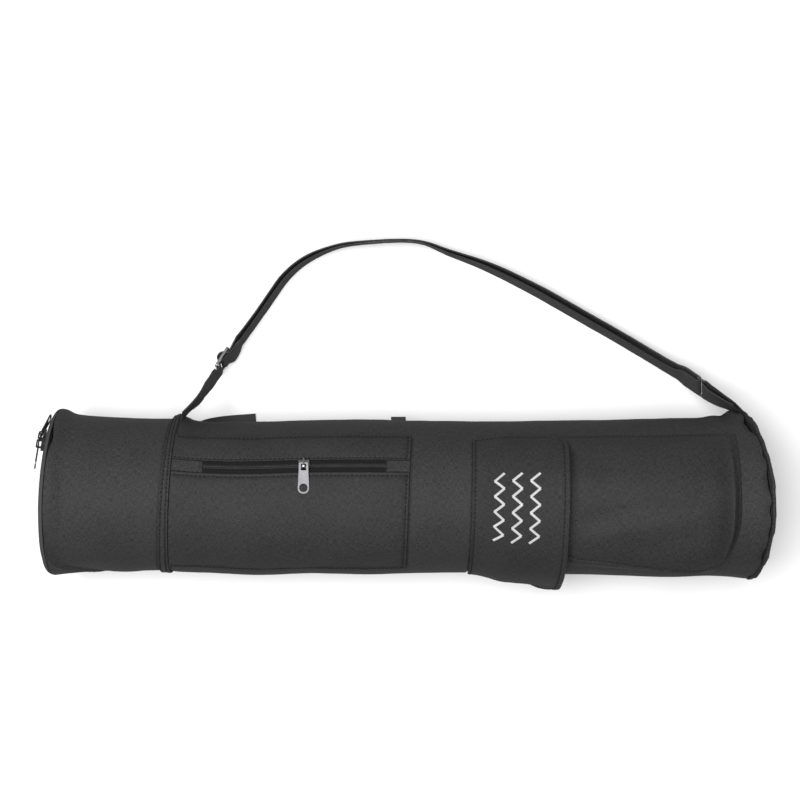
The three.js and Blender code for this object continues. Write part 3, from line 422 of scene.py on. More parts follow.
def makeGrain():
    # smooth surface with fine grain in the object's own space
    grain = ShaderGroup("grain", ("Roughness", "Roughness Spread", "Scale"))
    given, compute = grain.given, grain.compute
    place = grain.add("ShaderNodeTexCoord").outputs["Object"]
    fine = grain.noise(place, given["Scale"], 4.0)
    wide = grain.noise(place, compute("MULTIPLY", given["Scale"], 0.1), 2.0)
    roughness = compute("ADD", compute("MULTIPLY", fine, given["Roughness Spread"]), given["Roughness"])
    return grain.finish(grain.blend(wide, given["Dark"], given["Light"]), roughness, fine)


def makeMaterial(name, group, look, settings, bump=None):
    # look goes to the group, settings go to the shader, bump is strength and distance in metres
    material = bpy.data.materials.new(name)
    material.use_nodes = True
    tree = material.node_tree
    shader = tree.nodes["Principled BSDF"]
    for key, value in settings.items():
        shader.inputs[key].default_value = value
    node = tree.nodes.new("ShaderNodeGroup")
    node.node_tree = group
    for key, value in look.items():
        node.inputs[key].default_value = value
    tree.links.new(node.outputs["Color"], shader.inputs["Base Color"])
    tree.links.new(node.outputs["Roughness"], shader.inputs["Roughness"])
    if bump:
        relief = tree.nodes.new("ShaderNodeBump")
        relief.inputs["Strength"].default_value = bump[0]
        relief.inputs["Distance"].default_value = bump[1]
        tree.links.new(node.outputs["Height"], relief.inputs["Height"])
        tree.links.new(relief.outputs["Normal"], shader.inputs["Normal"])
    return material


# threads are per metre of cloth
canvasLook = {
    "Threads Along": 1000 / 0.72, "Threads Across": 1000 / 0.8, "Long Streaks": 240.0, "Fine Streaks": 1600.0,
    "Contrast": 3.3, "Blotches": 0.35, "Painted Hollow Shade": 0.5, "Roughness": 0.56,
    "Dark": (0.0088, 0.0088, 0.0094, 1), "Light": (0.0455, 0.0455, 0.0471, 1),
}
# darker copies of the canvas for the flap and the pocket panels: painted shade for the light that falls off
# away from the left end
flapShadedLook = {**canvasLook, "Dark": (0.0072, 0.0072, 0.0077, 1), "Light": (0.038, 0.038, 0.0393, 1)}
panelShadedLook = {**canvasLook, "Dark": (0.0078, 0.0078, 0.0083, 1), "Light": (0.041, 0.041, 0.0424, 1)}
webbingLook = {
    "Threads Along": 1000 / 1.3, "Threads Across": 1000 / 1.1, "Long Streaks": 140.0, "Fine Streaks": 900.0,
    "Contrast": 0.9, "Blotches": 0.2, "Painted Hollow Shade": 0.7, "Roughness": 0.66,
    "Dark": (0.017, 0.017, 0.018, 1), "Light": (0.085, 0.085, 0.088, 1),
}
tapeLook = {
    "Threads Along": 1000 / 0.5, "Threads Across": 1000 / 0.5, "Long Streaks": 150.0, "Fine Streaks": 1200.0,
    "Contrast": 0.8, "Blotches": 0.2, "Painted Hollow Shade": 0.4, "Roughness": 0.82,
    "Dark": (0.022, 0.022, 0.023, 1), "Light": (0.07, 0.07, 0.072, 1),
}
blackTapeLook = {**tapeLook, "Dark": (0.005, 0.005, 0.0055, 1), "Light": (0.017, 0.017, 0.018, 1)}
metalLook = {
    "Scale": 900.0, "Roughness": 0.2, "Roughness Spread": 0.2,
    "Dark": (0.17, 0.17, 0.175, 1), "Light": (0.32, 0.32, 0.325, 1),
}
satinLook = {
    "Scale": 900.0, "Roughness": 0.28, "Roughness Spread": 0.2,
    "Dark": (0.055, 0.055, 0.057, 1), "Light": (0.11, 0.11, 0.112, 1),
}
coilLook = {
    "Scale": 700.0, "Roughness": 0.26, "Roughness Spread": 0.2,
    "Dark": (0.014, 0.014, 0.0145, 1), "Light": (0.034, 0.034, 0.035, 1),
}
threadLook = {
    "Scale": 1500.0, "Roughness": 0.7, "Roughness Spread": 0.15,
    "Dark": (0.006, 0.006, 0.0065, 1), "Light": (0.013, 0.013, 0.0135, 1),
}
silverLook = {**threadLook, "Roughness": 0.4, "Dark": (0.40, 0.40, 0.40, 1), "Light": (0.58, 0.58, 0.58, 1)}

weave = makeWeave()
grain = makeGrain()
dullCloth = {"Specular IOR Level": 0.16}
softGloss = {"Specular IOR Level": 0.4}
bareMetal = {"Metallic": 1.0}
canvas = makeMaterial("canvas", weave, canvasLook, dullCloth, (0.45, 0.0003))
# the flap and the pocket panels get the darker canvas copies, which is painted shade
flapShadedCanvas = makeMaterial("flapShadedCanvas", weave, flapShadedLook, dullCloth, (0.45, 0.0003))
panelShadedCanvas = makeMaterial("panelShadedCanvas", weave, panelShadedLook, dullCloth, (0.45, 0.0003))
webbing = makeMaterial("webbing", weave, webbingLook, dullCloth, (0.7, 0.0005))
tape = makeMaterial("zipTape", weave, tapeLook, {"Specular IOR Level": 0.3}, (0.5, 0.0002))
blackTape = makeMaterial("blackZipTape", weave, blackTapeLook, {"Specular IOR Level": 0.06}, (0.5, 0.0002))
metal = makeMaterial("plate", grain, metalLook, bareMetal, (0.12, 0.0001))
satin = makeMaterial("satinPlate", grain, satinLook, bareMetal, (0.12, 0.0001))
coil = makeMaterial("zipCoil", grain, coilLook, softGloss, (0.1, 0.0001))
silverThread = makeMaterial("silverThread", grain, silverLook, softGloss, (0.2, 0.0001))
thread = makeMaterial("thread", grain, threadLook, {"Specular IOR Level": 0.2}, (0.3, 0.0001))
print("materials made")


# The tube
def tubeColumns():
    # closer columns at the ends and beside the sewn edges: from, to, step
    left = -bag["length"] / 2 + bag["capDepth"]
    right = bag["length"] / 2 - bag["binding"] - bag["seat"]
    rounding = np.array([0, 0.35, 0.9, 1.6])
    runs = [
        (left + 2.6, left + 38, 1.7), (left + 38, -248, 4.2), (-248, -221, 0.75), (-221, -4.2, 4.2),
        (-4.2, 7.4, 0.65), (7.4, 57.5, 4.2), (57.5, 67.5, 0.65), (67.5, right - 46, 4.2),
        (right - 46, right - 2.6, 1.7),
    ]
    return np.concatenate([left + rounding, *[np.arange(*run) for run in runs], right - rounding[::-1]])


def seamDips(x, angle):
    # cloth drawn in beside the sewn edges
    def within(at, piece, inner):
        low, high = piece["low"], piece["high"]
        return smoothStep(at, low - 2, low + inner) * (1 - smoothStep(at, high - inner, high + 2))

    def dent(place, depth, size):
        return depth * np.exp(-(((x - place) / size) ** 2))

    turned = np.where(angle > 270, angle - 360, angle)
    besideBand = dent(bandRight(turned) + 0.8, 1.1, 0.9) + dent(bandLeft(turned) - 0.8, 1.1, 0.9)
    dip = within(turned, band, 2) * (besideBand + dent(bandMiddle(turned), 0.7, 9))
    dip += within(angle, pocket, 1) * dent(pocketRight(angle) + 0.9, 1.6, 0.95)
    return dip + within(angle, flap, 1) * dent(flapX(angle, 0.0) - 0.9, 1.6, 0.95)


# angle, reach in degrees and width of the gaps that open between the tube and the bound edge
baseGaps = [
    (27, 12, 3.2), (58, 3, 1.2), (77, 9, 1.9), (97, 4.5, 1.4), (113, 3, 0.8), (132, 5, 1.5), (165, 6, 1.2),
    (205, 8, 1.5), (250, 5, 1.0), (310, 9, 1.6),
]


def baseGap(angle):
    gap = np.zeros_like(np.asarray(angle, float))
    for middle, reach, width in baseGaps:
        away = (np.mod(angle - middle + 180, 360) - 180) / reach
        gap = np.maximum(gap, width * np.exp(-away ** 4))
    return gap


def sliderCrease(angle):
    # share of the crease that the two sliders pull in the rim
    return np.exp(-(((angle - 46) / 10) ** 2))


def makeTube():
    angles = np.arange(0, 360, 2.0)
    columns = tubeColumns()
    left = capPlane(angles) + bag["capDepth"] + 2.4 * sliderCrease(angles)
    right = basePlane(angles) - bag["binding"] - bag["seat"] - baseGap(angles)
    nearLeft = np.clip(1 - (columns - columns[0]) / 60, 0, 1)
    nearRight = np.clip(1 - (columns[-1] - columns) / 80, 0, 1)
    x = columns[:, None] + nearLeft[:, None] * (left - columns[0])[None, :]
    x = x + nearRight[:, None] * (right - columns[-1])[None, :]
    a = np.repeat(angles[None, :], len(columns), axis=0)
    fromLeft, fromRight = x - left[None, :], right[None, :] - x
    fromEnds = np.minimum(fromLeft, fromRight)
    lift = (rolled(fromEnds, 1.2) - 1) * 1.2 - seamDips(x, a)
    lift -= 1.6 * np.exp(-((fromLeft / 3.5) ** 2)) * sliderCrease(a)
    lift -= 0.8 * baseGap(a) * np.exp(-((fromRight / 4.0) ** 2))
    outer = skin(x, a, lift)
    inner = skin(x, a, np.minimum(lift, 0) - bag["wall"])
    uv = np.stack([x, a * math.radians(1) * bag["radius"]], -1)
    tube = wallMesh("tube_cloth", outer, inner, uv, wrap=True, material=canvas)
    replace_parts(tube, "body_shell")


band = {
    "place": -225, "slant": 9, "narrow": 6.5, "wide": 10, "low": -60, "high": 240, "lift": 1.5,
    "leftHem": 1.5, "rightHem": 2.6,
}


def bandShare(angle):
    return np.clip(np.asarray(angle, float) / 160, 0, 1)


def bandRight(angle):
    return band["place"] - band["slant"] * bandShare(angle) ** 2


def bandLeft(angle):
    return bandRight(angle) - (band["narrow"] + (band["wide"] - band["narrow"]) * bandShare(angle))


def bandMiddle(angle):
    return 0.5 * (bandLeft(angle) + bandRight(angle))


def makeBand():
    leftHem, rightHem = band["leftHem"], band["rightHem"]
    piece = {
        "left": bandLeft, "right": bandRight, "low": band["low"], "high": band["high"], "lift": band["lift"],
        "lines": (leftHem, rightHem), "leftStitch": (leftHem,), "rightStitch": (rightHem,), "puff": 0.0,
        "puffReach": 5, "ripple": 0.12, "seed": 41, "step": 2.6, "round": 0.6,
    }
    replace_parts(skinPatch("band_cloth", piece, canvas), "strap_band")
    angles = np.linspace(band["low"] + 1, band["high"] - 1, 240)
    for name, line in (("left", bandLeft(angles) + leftHem), ("right", bandRight(angles) - rightHem)):
        top, under = lineOnSkin(line, angles, band["lift"] - 0.12)
        sew("band_stitch_" + name, top, under)


# The ends
# across the zip tape, from the tube to the lid: out past the plane, depth under the skin
capProfile = [
    (-3.65, 0.2), (-2.6, 0.4), (-1.2, 1.0), (-0.2, 1.7), (0.25, 2.4), (0.2, 3.0), (-0.6, 3.7), (-1.4, 4.3),
    (-1.6, 6.0), (-1.6, 8.0),
]
capCoil = {
    "depth": 6.25, "out": -1.25, "back": 0.75, "apart": 0.9, "radius": 70, "pitch": 1.35,
    "toothLength": 2.1, "toothRadius": 0.48,
}
capRelief = 0.6


def rimOf(x, angle, lift, relief=1.0):
    x, angle, lift = np.broadcast_arrays(
        np.asarray(x, float), np.asarray(angle, float), np.asarray(lift, float))
    points = skin(np.clip(x, -bag["length"] / 2, bag["length"] / 2), angle, lift, relief)
    points[..., 0] = x
    return points


def discMesh(name, rim, centre, inward, seed):
    # round end piece, softly crowned, from the rim inward
    rings = 26
    shares = np.concatenate([[1, 0.995, 0.988], np.linspace(0.975, 0, rings)])
    outer = centre + (rim[None, :, :] - centre) * shares[:, None, None]
    outer[..., 0] = rim[None, :, 0] + (centre[0] - rim[None, :, 0]) * (1 - shares[:, None] ** 2)
    across, up = outer[..., 1], outer[..., 2]
    soft = smoothStep(1 - shares, 0.0, 0.25)[:, None]
    waves = 0.7 * softNoise(across / 30, up / 30, seed) + 0.25 * softNoise(across / 9, up / 9, seed + 1)
    outer[..., 0] -= inward * soft * waves
    inner = outer.copy()
    inner[..., 0] += inward * bag["wall"]
    uv = np.stack([across, up], -1)
    return wallMesh(name, outer, inner, uv, wrap=True, material=canvas)


def axisAt(x):
    at = np.clip(x / bag["length"] + 0.5, 0, 1)
    return np.array([x, bag["radius"] * float(rowValue(sections, 2, at)),
                     bag["radius"] * float(rowValue(sections, 1, at)) - bag["press"]])


def makeCap():
    angles = np.arange(0, 360, 1.8)
    plane = capPlane(angles)
    outer = np.stack([rimOf(plane - out, angles, -depth, capRelief) for out, depth in capProfile])
    inner = np.stack([rimOf(plane - out + (0.9 if depth > 1 else 0.0), angles, -depth - 1.0, capRelief)
                      for out, depth in capProfile])
    s = np.arange(len(capProfile))[:, None] * 1.8 + 0 * angles[None, :]
    uv = np.stack([angles[None, :] * mmPerDegree + 0 * s, s], -1)
    obj = wallMesh("cap_tape_cloth", outer, inner, uv, wrap=True, material=tape, slotName="tape")
    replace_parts(obj, "cap_zip_tape")

    count = int(2 * math.pi * capCoil["radius"] / capCoil["pitch"])
    angles = np.linspace(0, 360, count, endpoint=False)
    centres, ways, ups = [], [], []
    for side in (-1, 1):
        turn = angles + side * 0.25 * 360 / count
        x = capPlane(turn) - capCoil["out"] - capCoil["back"]
        lift = -capCoil["depth"] + side * capCoil["apart"]
        middle = rimOf(x, turn, lift, capRelief)
        centres.append(middle)
        ways.append(rimOf(x, turn, lift + 1, capRelief) - middle)
        ups.append(np.tile([-1.0, 0, 0], (count, 1)))
    teeth = capsules("cap_coil_teeth", np.concatenate(centres), np.concatenate(ways), np.concatenate(ups),
                     capCoil["toothLength"], capCoil["toothRadius"], flat=1.0, slotName="coil", material=coil)
    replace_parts(teeth, "cap_zip_coil")

    angles = np.arange(0, 360, 2.4)
    rim = rimOf(capPlane(angles) + 1.6, angles, -8.5, capRelief)
    lid = discMesh("cap_lid_cloth", rim, axisAt(-bag["length"] / 2 - 4), 1, 61)
    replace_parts(lid, "cap_panel")


# across the folded strip of the base: back from the plane, and above the skin
baseProfile = [
    (3.6, -1.0), (3.6, 0.0), (3.3, 0.75), (2.6, 1.15), (1.8, 1.25), (1.0, 1.0), (0.3, 0.35), (0.0, -0.6),
    (0.1, -2.6), (0.6, -5.0),
]


def baseTucks(angle):
    return 0.8 * roundNoise(0 * angle, angle, 40, 46, 71) + 0.5 * roundNoise(0 * angle, angle, 40, 90, 73)


def makeBase():
    angles = np.arange(0, 360, 1.5)
    plane, tucks = basePlane(angles), baseTucks(angles)
    rows = []
    for back, lift in baseProfile:
        onSide = lift > -0.5
        gain = 0.9 if onSide else 0.25
        widened = 0.35 * baseGap(angles) if onSide else 0
        rows.append(rimOf(plane - back + 0.4 * tucks, angles, lift + gain * tucks + widened))
    outer = np.stack(rows)
    inner = np.stack([rimOf(plane - 3.55 + 0.6 * k / 9, angles, -1.6 - 3.4 * k / 9) for k in range(10)])
    s = np.arange(10)[:, None] * 1.0 + 0 * angles[None, :]
    uv = np.stack([angles[None, :] * mmPerDegree + 0 * s, s], -1)
    obj = wallMesh("base_binding_cloth", outer, inner, uv, wrap=True, material=canvas)
    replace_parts(obj, "base_binding")
    line = np.linspace(0, 360, 600)
    tucks = baseTucks(line)
    top = rimOf(basePlane(line) - 2.9 + 0.25 * tucks, line, 1.0 + 0.7 * tucks)
    under = rimOf(basePlane(line) - 2.9, line, -0.2)
    sew("base_binding_stitch", top, under)
    angles = np.arange(0, 360, 2.4)
    rim = rimOf(basePlane(angles) - 1.8, angles, -5.4)
    obj = discMesh("base_panel_cloth", rim, axisAt(bag["length"] / 2 - 6), -1, 67)
    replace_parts(obj, "base_panel")


# The zip pocket
pocket = {
    "low": 36.6, "high": 152, "end": 4.2, "endSlant": 5.9, "lift": 1.85,
    "zipAngle": 64.3, "zipOpening": 12.6, "zipLeft": -196.5, "zipRight": -20,
    "sideHem": 3.0, "topHem": 3.0, "zipHem": 1.6, "panelHem": 3.6,
}
pocketTeeth = {"pitch": 1.3, "apart": 0.9, "stagger": 0.32, "lift": 1.75, "length": 2.6, "radius": 0.48}


def pocketRight(angle):
    share = (np.asarray(angle, float) - pocket["low"]) / (pocket["high"] - pocket["low"])
    return pocket["end"] - pocket["endSlant"] * share


def pocketLeft(angle):
    return bandRight(angle) + bag["seat"]


def makeZipPocket():
    half = math.degrees(pocket["zipOpening"] / 2 / bag["radius"])
    zipLow, zipHigh = pocket["zipAngle"] - half, pocket["zipAngle"] + half
    gap = math.degrees(bag["seat"] / bag["radius"])
    sideHem, topHem, zipHem, panelHem = (pocket[key] for key in ("sideHem", "topHem", "zipHem", "panelHem"))
    common = {
        "left": pocketLeft, "right": pocketRight, "lift": pocket["lift"], "lines": (sideHem,),
        "rightStitch": (sideHem,),
    }
    upper = {
        **common, "low": pocket["low"], "high": zipLow, "lowStitch": (topHem,), "highStitch": (zipHem,),
        "lowLines": (zipHem, topHem), "puff": 0.4, "seed": 81,
    }
    lower = {
        **common, "low": zipHigh, "high": pocket["high"], "lowStitch": (panelHem,), "highStitch": (panelHem,),
        "lowLines": (panelHem,), "puff": 1.0, "puffReach": 26, "ripple": 0.5, "seed": 87,
    }
    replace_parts(skinPatch("pocket_upper_cloth", upper, panelShadedCanvas), "pocket_top_band")
    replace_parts(skinPatch("pocket_lower_cloth", lower, panelShadedCanvas), "pocket_panel")
    zipStrip = {"low": zipLow + gap, "high": zipHigh - gap}
    ends = {
        **zipStrip, "lift": pocket["lift"] - 0.1, "puff": 0.3, "ripple": 0.15, "lines": (zipHem,), "step": 2.6,
    }
    leftTab = {**ends, "left": pocketLeft, "right": pocket["zipLeft"], "rightStitch": (zipHem,), "seed": 91}
    rightTab = {**ends, "left": pocket["zipRight"], "right": pocketRight, "leftStitch": (zipHem,), "seed": 93}
    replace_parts(skinPatch("pocket_tab_left_cloth", leftTab, canvas), "pocket_tab_left")
    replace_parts(skinPatch("pocket_tab_right_cloth", rightTab, canvas), "pocket_tab_right")
    tapePiece = {
        **zipStrip, "left": pocket["zipLeft"] + 0.3, "right": pocket["zipRight"] - 0.3, "lift": 0.75,
        "puff": 0.0, "ripple": 0.1, "flatEdges": ("left", "right", "low", "high"), "seed": 95, "step": 2.2,
    }
    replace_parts(skinPatch("pocket_tape_cloth", tapePiece, blackTape, "black_tape"), "pocket_zip_tape")

    count = int((pocket["zipRight"] - pocket["zipLeft"] - 2) / pocketTeeth["pitch"])
    x = np.linspace(pocket["zipLeft"] + 1, pocket["zipRight"] - 1, count)
    lift = pocketTeeth["lift"]
    centres, ways, ups = [], [], []
    for side in (-1, 1):
        shift = x + side * pocketTeeth["stagger"]
        angle = pocket["zipAngle"] + side * math.degrees(pocketTeeth["apart"] / bag["radius"])
        middle = skin(shift, angle, lift)
        ways.append(skin(shift, angle + 0.5, lift) - middle)
        ups.append(skin(shift, angle, lift + 1) - middle)
        centres.append(middle)
    teeth = capsules("pocket_coil_teeth", np.concatenate(centres), np.concatenate(ways), np.concatenate(ups),
                     pocketTeeth["length"], pocketTeeth["radius"], flat=1.0, slotName="coil", material=coil)
    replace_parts(teeth, "pocket_zip_coil")

    perMm = math.degrees(1 / bag["radius"])
    t = np.linspace(0, 1, 260)
    seams = {}
    # along the bag: edge of the cloth, mm from that edge, mm from the band, mm short of the cloth's width
    for name, edge, inset, start, short in (
            ("top", pocket["low"], topHem, 2, 5), ("zip_upper", zipLow, -zipHem, 1, 4),
            ("zip_lower", zipHigh, panelHem, 1, 4), ("bottom", pocket["high"], -panelHem, 1, 4)):
        left, right = pocketLeft(edge), pocketRight(edge)
        seams[name] = (left + start + t * (right - left - short), edge + inset * perMm + 0 * t)
    # round the bag: from, to, degrees short of the cloth's height
    for name, low, high, short in (
            ("side_upper", pocket["low"], zipLow, 2.5), ("side_lower", zipHigh, pocket["high"], 3)):
        seams[name] = (pocketRight(low + t * (high - low)) - sideHem, low + 1.5 + t * (high - low - short))
    for name, (x, angle) in seams.items():
        top, under = lineOnSkin(x, angle, pocket["lift"] + 0.22)
        sew("pocket_stitch_" + name, top, under)


# The bulging pocket and its flap
gusset = {
    "edge": 310, "length": 210, "mouth": 100, "low": 38, "tall": 145, "front": 26, "rise": 15, "lift": 1.85,
    "wall": 1.5, "topHem": 2.2, "frontHem": 2.8,
}
# share of the way from the top edge to the front edge, share of the rise
gussetRound = [(0, 0), (0.13, 0.42), (0.29, 0.72), (0.47, 1), (0.8, 1), (0.92, 0.94), (1, 0.82)]
# share of the pocket's length, share of the rise
gussetAlong = [(0, 0.58), (0.25, 0.66), (0.5, 0.94), (0.8, 1), (1, 0.86)]
# share of the pocket's length, angle of its front edge
gussetFront = [(0, 129), (0.25, 131), (0.5, 133.5), (0.85, 139), (1, 140.5)]
# share of the way round, share of the pocket's length that its right edge steps back
gussetEdgeRound = [(0, 0.004), (0.6, 0), (0.72, 0.006), (0.82, 0.02), (0.93, 0.042), (1, 0.066)]
# front wall, from the edge down to its foot: share, turn in degrees past the edge, share of the rise
gussetWall = [
    (0, 0, 1.0), (0.08, 0.9, 0.95), (0.18, 1.3, 0.80), (0.3, 0.7, 0.62), (0.4, 0.5, 0.5), (0.5, 2.6, 0.42),
    (0.6, 5.4, 0.43), (0.7, 8.2, 0.36), (0.8, 10.8, 0.2), (0.9, 13.8, 0.07), (1, 17, 0.0),
]
# past the right edge, down to the foot: mm from the edge, share of the height
gussetSide = [
    (0.4, 0.985), (0.9, 0.93), (1.5, 0.84), (2.1, 0.74), (2.8, 0.62), (3.5, 0.49), (4.3, 0.36), (5.2, 0.23),
    (6.2, 0.12), (7.1, 0.05), (8.0, 0.0),
]


def gussetShare(x):
    return np.clip((x - gusset["mouth"]) / gusset["length"], 0, 1)


def alongGusset(x):
    return rowValue(gussetAlong, 1, gussetShare(x))


def gussetEdgeAt(share):
    return gusset["edge"] - gusset["length"] * rowValue(gussetEdgeRound, 1, share)


def gussetAngle(x, share):
    return gusset["low"] + (rowValue(gussetFront, 1, gussetShare(x)) - gusset["low"]) * share


def gussetPanelLift(x, share):
    # height of the bulging panel over the tube, with its soft folds
    angle = gussetAngle(x, share)
    arc = angle * 1.5
    rise = gusset["rise"] * rowValue(gussetRound, 1, share) * alongGusset(x)
    fromEdge = gussetEdgeAt(share) - x
    rise = rise * (1 - 0.5 * np.exp(-((fromEdge / 12) ** 2)))
    # slanting fold from the flap down to the front edge
    sweep = arc - 152 + 0.22 * (x - 170)
    fold = 1.4 * np.exp(-(((sweep - 16) / 11) ** 2)) - 2.1 * np.exp(-((sweep / 10) ** 2))
    fold *= smoothStep(x, 150, 190) * (1 - smoothStep(x, 270, 300))
    beside = x - flapX(angle, 1.0) - 1.5
    fold -= 4.2 * np.exp(-((beside / 4.5) ** 2)) * smoothStep(share, 0.05, 0.2)
    wave = 0.7 * softNoise(x / 46, arc / 38, 101) + 0.3 * softNoise(x / 17, arc / 14, 103)
    wave *= smoothStep(share, 0, 0.08)
    return np.maximum(gusset["lift"] + rise + (fold + wave) * smoothStep(share, 0, 0.1), 1.2)


def makeGussetPocket():
    tall, lowest = gusset["tall"], gusset["lift"]
    topHem, frontHem = gusset["topHem"], gusset["frontHem"]
    down = edgeSpacing(tall, 3.0, (topHem,))
    wallShares = np.array([
        0.04, 0.08, 0.13, 0.18, 0.24, 0.3, 0.35, 0.4, 0.45, 0.5, 0.55, 0.6, 0.65, 0.7, 0.75, 0.8, 0.86, 0.92,
        0.96, 1.0])
    sideSteps, sideFall = np.array(gussetSide).T
    acrossShares = edgeSpacing(gusset["length"], 2.8, (topHem,)) / gusset["length"]
    share = np.concatenate([down / tall, np.ones(len(wallShares))])
    wall = np.concatenate([0 * down, wallShares])
    width = (gussetEdgeAt(share) - gusset["mouth"])[:, None]
    x = np.concatenate([gusset["mouth"] + width * acrossShares, gusset["mouth"] + width + sideSteps], axis=1)
    s = np.repeat(share[:, None], x.shape[1], axis=1)
    w = np.repeat(wall[:, None], x.shape[1], axis=1)
    side = np.concatenate([np.ones(len(acrossShares)), sideFall])[None, :] + 0 * x
    lift = gussetPanelLift(np.minimum(x, gussetEdgeAt(s)), s)
    # the front wall folds in under the edge, more at some places than at others
    onWall = w > 0
    deep = 0.55 + 0.75 * softNoise(x / 26, 0 * x + 0.4, 105)
    for place, more, size in ((168, 0.8, 14), (272, 0.7, 13)):
        deep = deep + more * np.exp(-(((x - place) / size) ** 2))
    deep = np.clip(deep, 0, 1.5)
    wander = 1.1 * softNoise(x / 30, w * 2, 107) - 1.4 * (deep - 0.6) * np.exp(-(((w - 0.34) / 0.14) ** 2))
    turn = rowValue(gussetWall, 1, w) + onWall * np.sin(math.pi * w) * wander
    part = rowValue(gussetWall, 2, w) - onWall * 0.16 * deep * np.exp(-(((w - 0.42) / 0.1) ** 2))
    part += onWall * 0.1 * softNoise(x / 22, w * 3, 109) * np.sin(math.pi * w)
    falling = lowest * (1 - w) + 0.9 * w + np.maximum(part, 0) * np.maximum(lift - lowest, 0)
    lift = np.where(onWall, falling, lift)
    lift = 0.9 * (1 - side) + lift * side + 0.8 * softNoise(side * 2, s * 11, 111) * (side < 1) * side
    onPanel = ~onWall & (side == 1)
    seam = np.exp(-(((1 - s) * tall / 1.5) ** 2)) * (w < 0.1)
    lift = lift * np.where(onPanel, 0.35 + 0.65 * rolled(s * tall), 1) + 0.5 * seam
    lift -= onPanel * (groove((1 - s) * tall, [frontHem], 0.45) + groove(s * tall, [topHem], 0.4))
    lift = np.maximum(lift, 0.6)
    a = gussetAngle(x, s) + turn
    # its edges are sewn down on the tube
    lift[:, -1] = lift[-1, :] = 0.25
    lift[0, :] = 0.35
    outer = skin(x, a, lift)
    inner = skin(x, a, np.maximum(lift - gusset["wall"], 0.1))
    inner[:, -1] = skin(x[:, -1], a[:, -1], -0.2)
    inner[-1, :] = skin(x[-1, :], a[-1, :], -0.2)
    uv = np.stack([x, s * tall + w * gusset["front"]], -1)
    obj = wallMesh("gusset_pocket_cloth", outer, inner, uv, material=panelShadedCanvas)
    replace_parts(obj, "gusset_pocket")

    def onPanelAt(px, ps, extra):
        return skin(px, gussetAngle(px, ps), gussetPanelLift(px, ps) + extra - 0.3)

    px = np.linspace(gusset["mouth"] + 54, gussetEdgeAt(1.0) - 3, 220)
    for name, edgeShare in (("front", 1 - frontHem / tall), ("top", topHem / tall)):
        ps = np.full_like(px, edgeShare)
        sew("gusset_stitch_" + name, onPanelAt(px, ps, 0), onPanelAt(px, ps, -1))


flap = {
    "place": 65, "width": 90.5, "corner": 18, "low": 39, "high": 183, "slant": 4.5, "lift": 1.85, "wall": 1.8,
    "clearance": 2.2, "flare": 5, "curl": 2.6, "hem": 5.0, "topHem": 3.2, "crease": 1.5,
}
# angle, share of the pocket's rise that lies under the flap
flapRound = [
    (38, 0), (50, 0.44), (65, 0.74), (82, 1), (120, 1), (135, 0.95), (150, 0.83), (165, 0.6), (185, 0.5),
]


def flapInset(angle):
    corner = math.degrees(flap["corner"] / bag["radius"])
    fromEdge = np.minimum(angle - flap["low"], flap["high"] - angle)
    turned = np.clip(1 - fromEdge / corner, 0, 1)
    return flap["corner"] * (1 - np.sqrt(np.clip(1 - turned * turned, 0, 1)))


def flapLift(x, share, angle):
    ramp = smoothStep(x, flap["place"] - 4, gusset["mouth"] - 1)
    over = gusset["rise"] * rowValue(flapRound, 1, angle) * alongGusset(x)
    flare = flap["flare"] * share * share * smoothStep(angle, 150, flap["high"])
    arc = angle * 1.45
    ripple = 0.55 * softNoise(x / 30, arc / 34, 121) + 0.22 * softNoise(x / 12, arc / 13, 123)
    curl = flap["curl"] * smoothStep(share, 0.8, 1) * smoothStep(angle, flap["low"] + 4, flap["low"] + 22)
    return flap["lift"] + ramp * (flap["clearance"] + over + flare + ripple + curl)


def flapX(angle, share):
    slant = flap["slant"] * (angle - flap["low"]) / (flap["high"] - flap["low"])
    left = flap["place"] - slant
    right = flap["place"] + flap["width"] - slant - flapInset(angle)
    return left + (right - left) * share


def makeFlap():
    radius = bag["radius"] + 12
    width, hem, topHem, crease = (flap[key] for key in ("width", "hem", "topHem", "crease"))
    low, high = flap["low"], flap["high"]
    tall = math.radians(high - low) * radius
    down = edgeSpacing(tall, 2.8, (topHem, hem))
    angle = low + np.degrees(down / radius)
    share = edgeSpacing(width, 2.6, (topHem, hem)) / width
    a = np.repeat(angle[:, None], len(share), axis=1)
    s = np.repeat(share[None, :], len(angle), axis=0)
    x = flapX(a, s)
    fromRight = (1 - s) * width
    fromTop, fromEnd = down[:, None] + 0 * x, (tall - down)[:, None] + 0 * x
    rounded = rolled(fromRight) * rolled(fromTop) * rolled(fromEnd)
    dips = groove(fromRight, [hem]) + groove(fromTop, [topHem]) + groove(fromEnd, [hem])
    dips += groove(s * width, [crease])
    middle = flapLift(x, s, a) - 0.5 * flap["wall"]
    outer = skin(x, a, middle + 0.5 * flap["wall"] * rounded - 0.8 * dips * rounded)
    inner = skin(x, a, middle - 0.5 * flap["wall"] * rounded + 0.3 * dips * rounded)
    # its weave is set off from that of the cloth under it
    uv = np.stack([x + 7, a * math.radians(1) * radius + 3], -1)
    obj = wallMesh("flap_cloth", outer, inner, uv, material=flapShadedCanvas)
    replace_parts(obj, "front_flap")

    def onFlap(share, angle, extra):
        px = flapX(angle, share)
        return skin(px, angle, flapLift(px, share, angle) + extra)

    def sewFlap(name, share, angle, rise=-0.2):
        sew("flap_stitch_" + name, onFlap(share, angle, rise), onFlap(share, angle, rise - 1))

    line = np.linspace(low + 4.5, high - 4.5, 240)
    sewFlap("side", 1 - hem / (width - flapInset(line)), line)
    t = np.linspace(0.02, 0.94, 120)
    sewFlap("top", t * 0.9, low + math.degrees(topHem / radius) + 0 * t)
    sewFlap("end", t * 0.9, high - math.degrees(hem / radius) + 0 * t)
    makeMotif(onFlap)
    line = np.linspace(low + 2, high - 2, 220)
    sewFlap("crease", crease / width + 0 * line, line, -0.1)


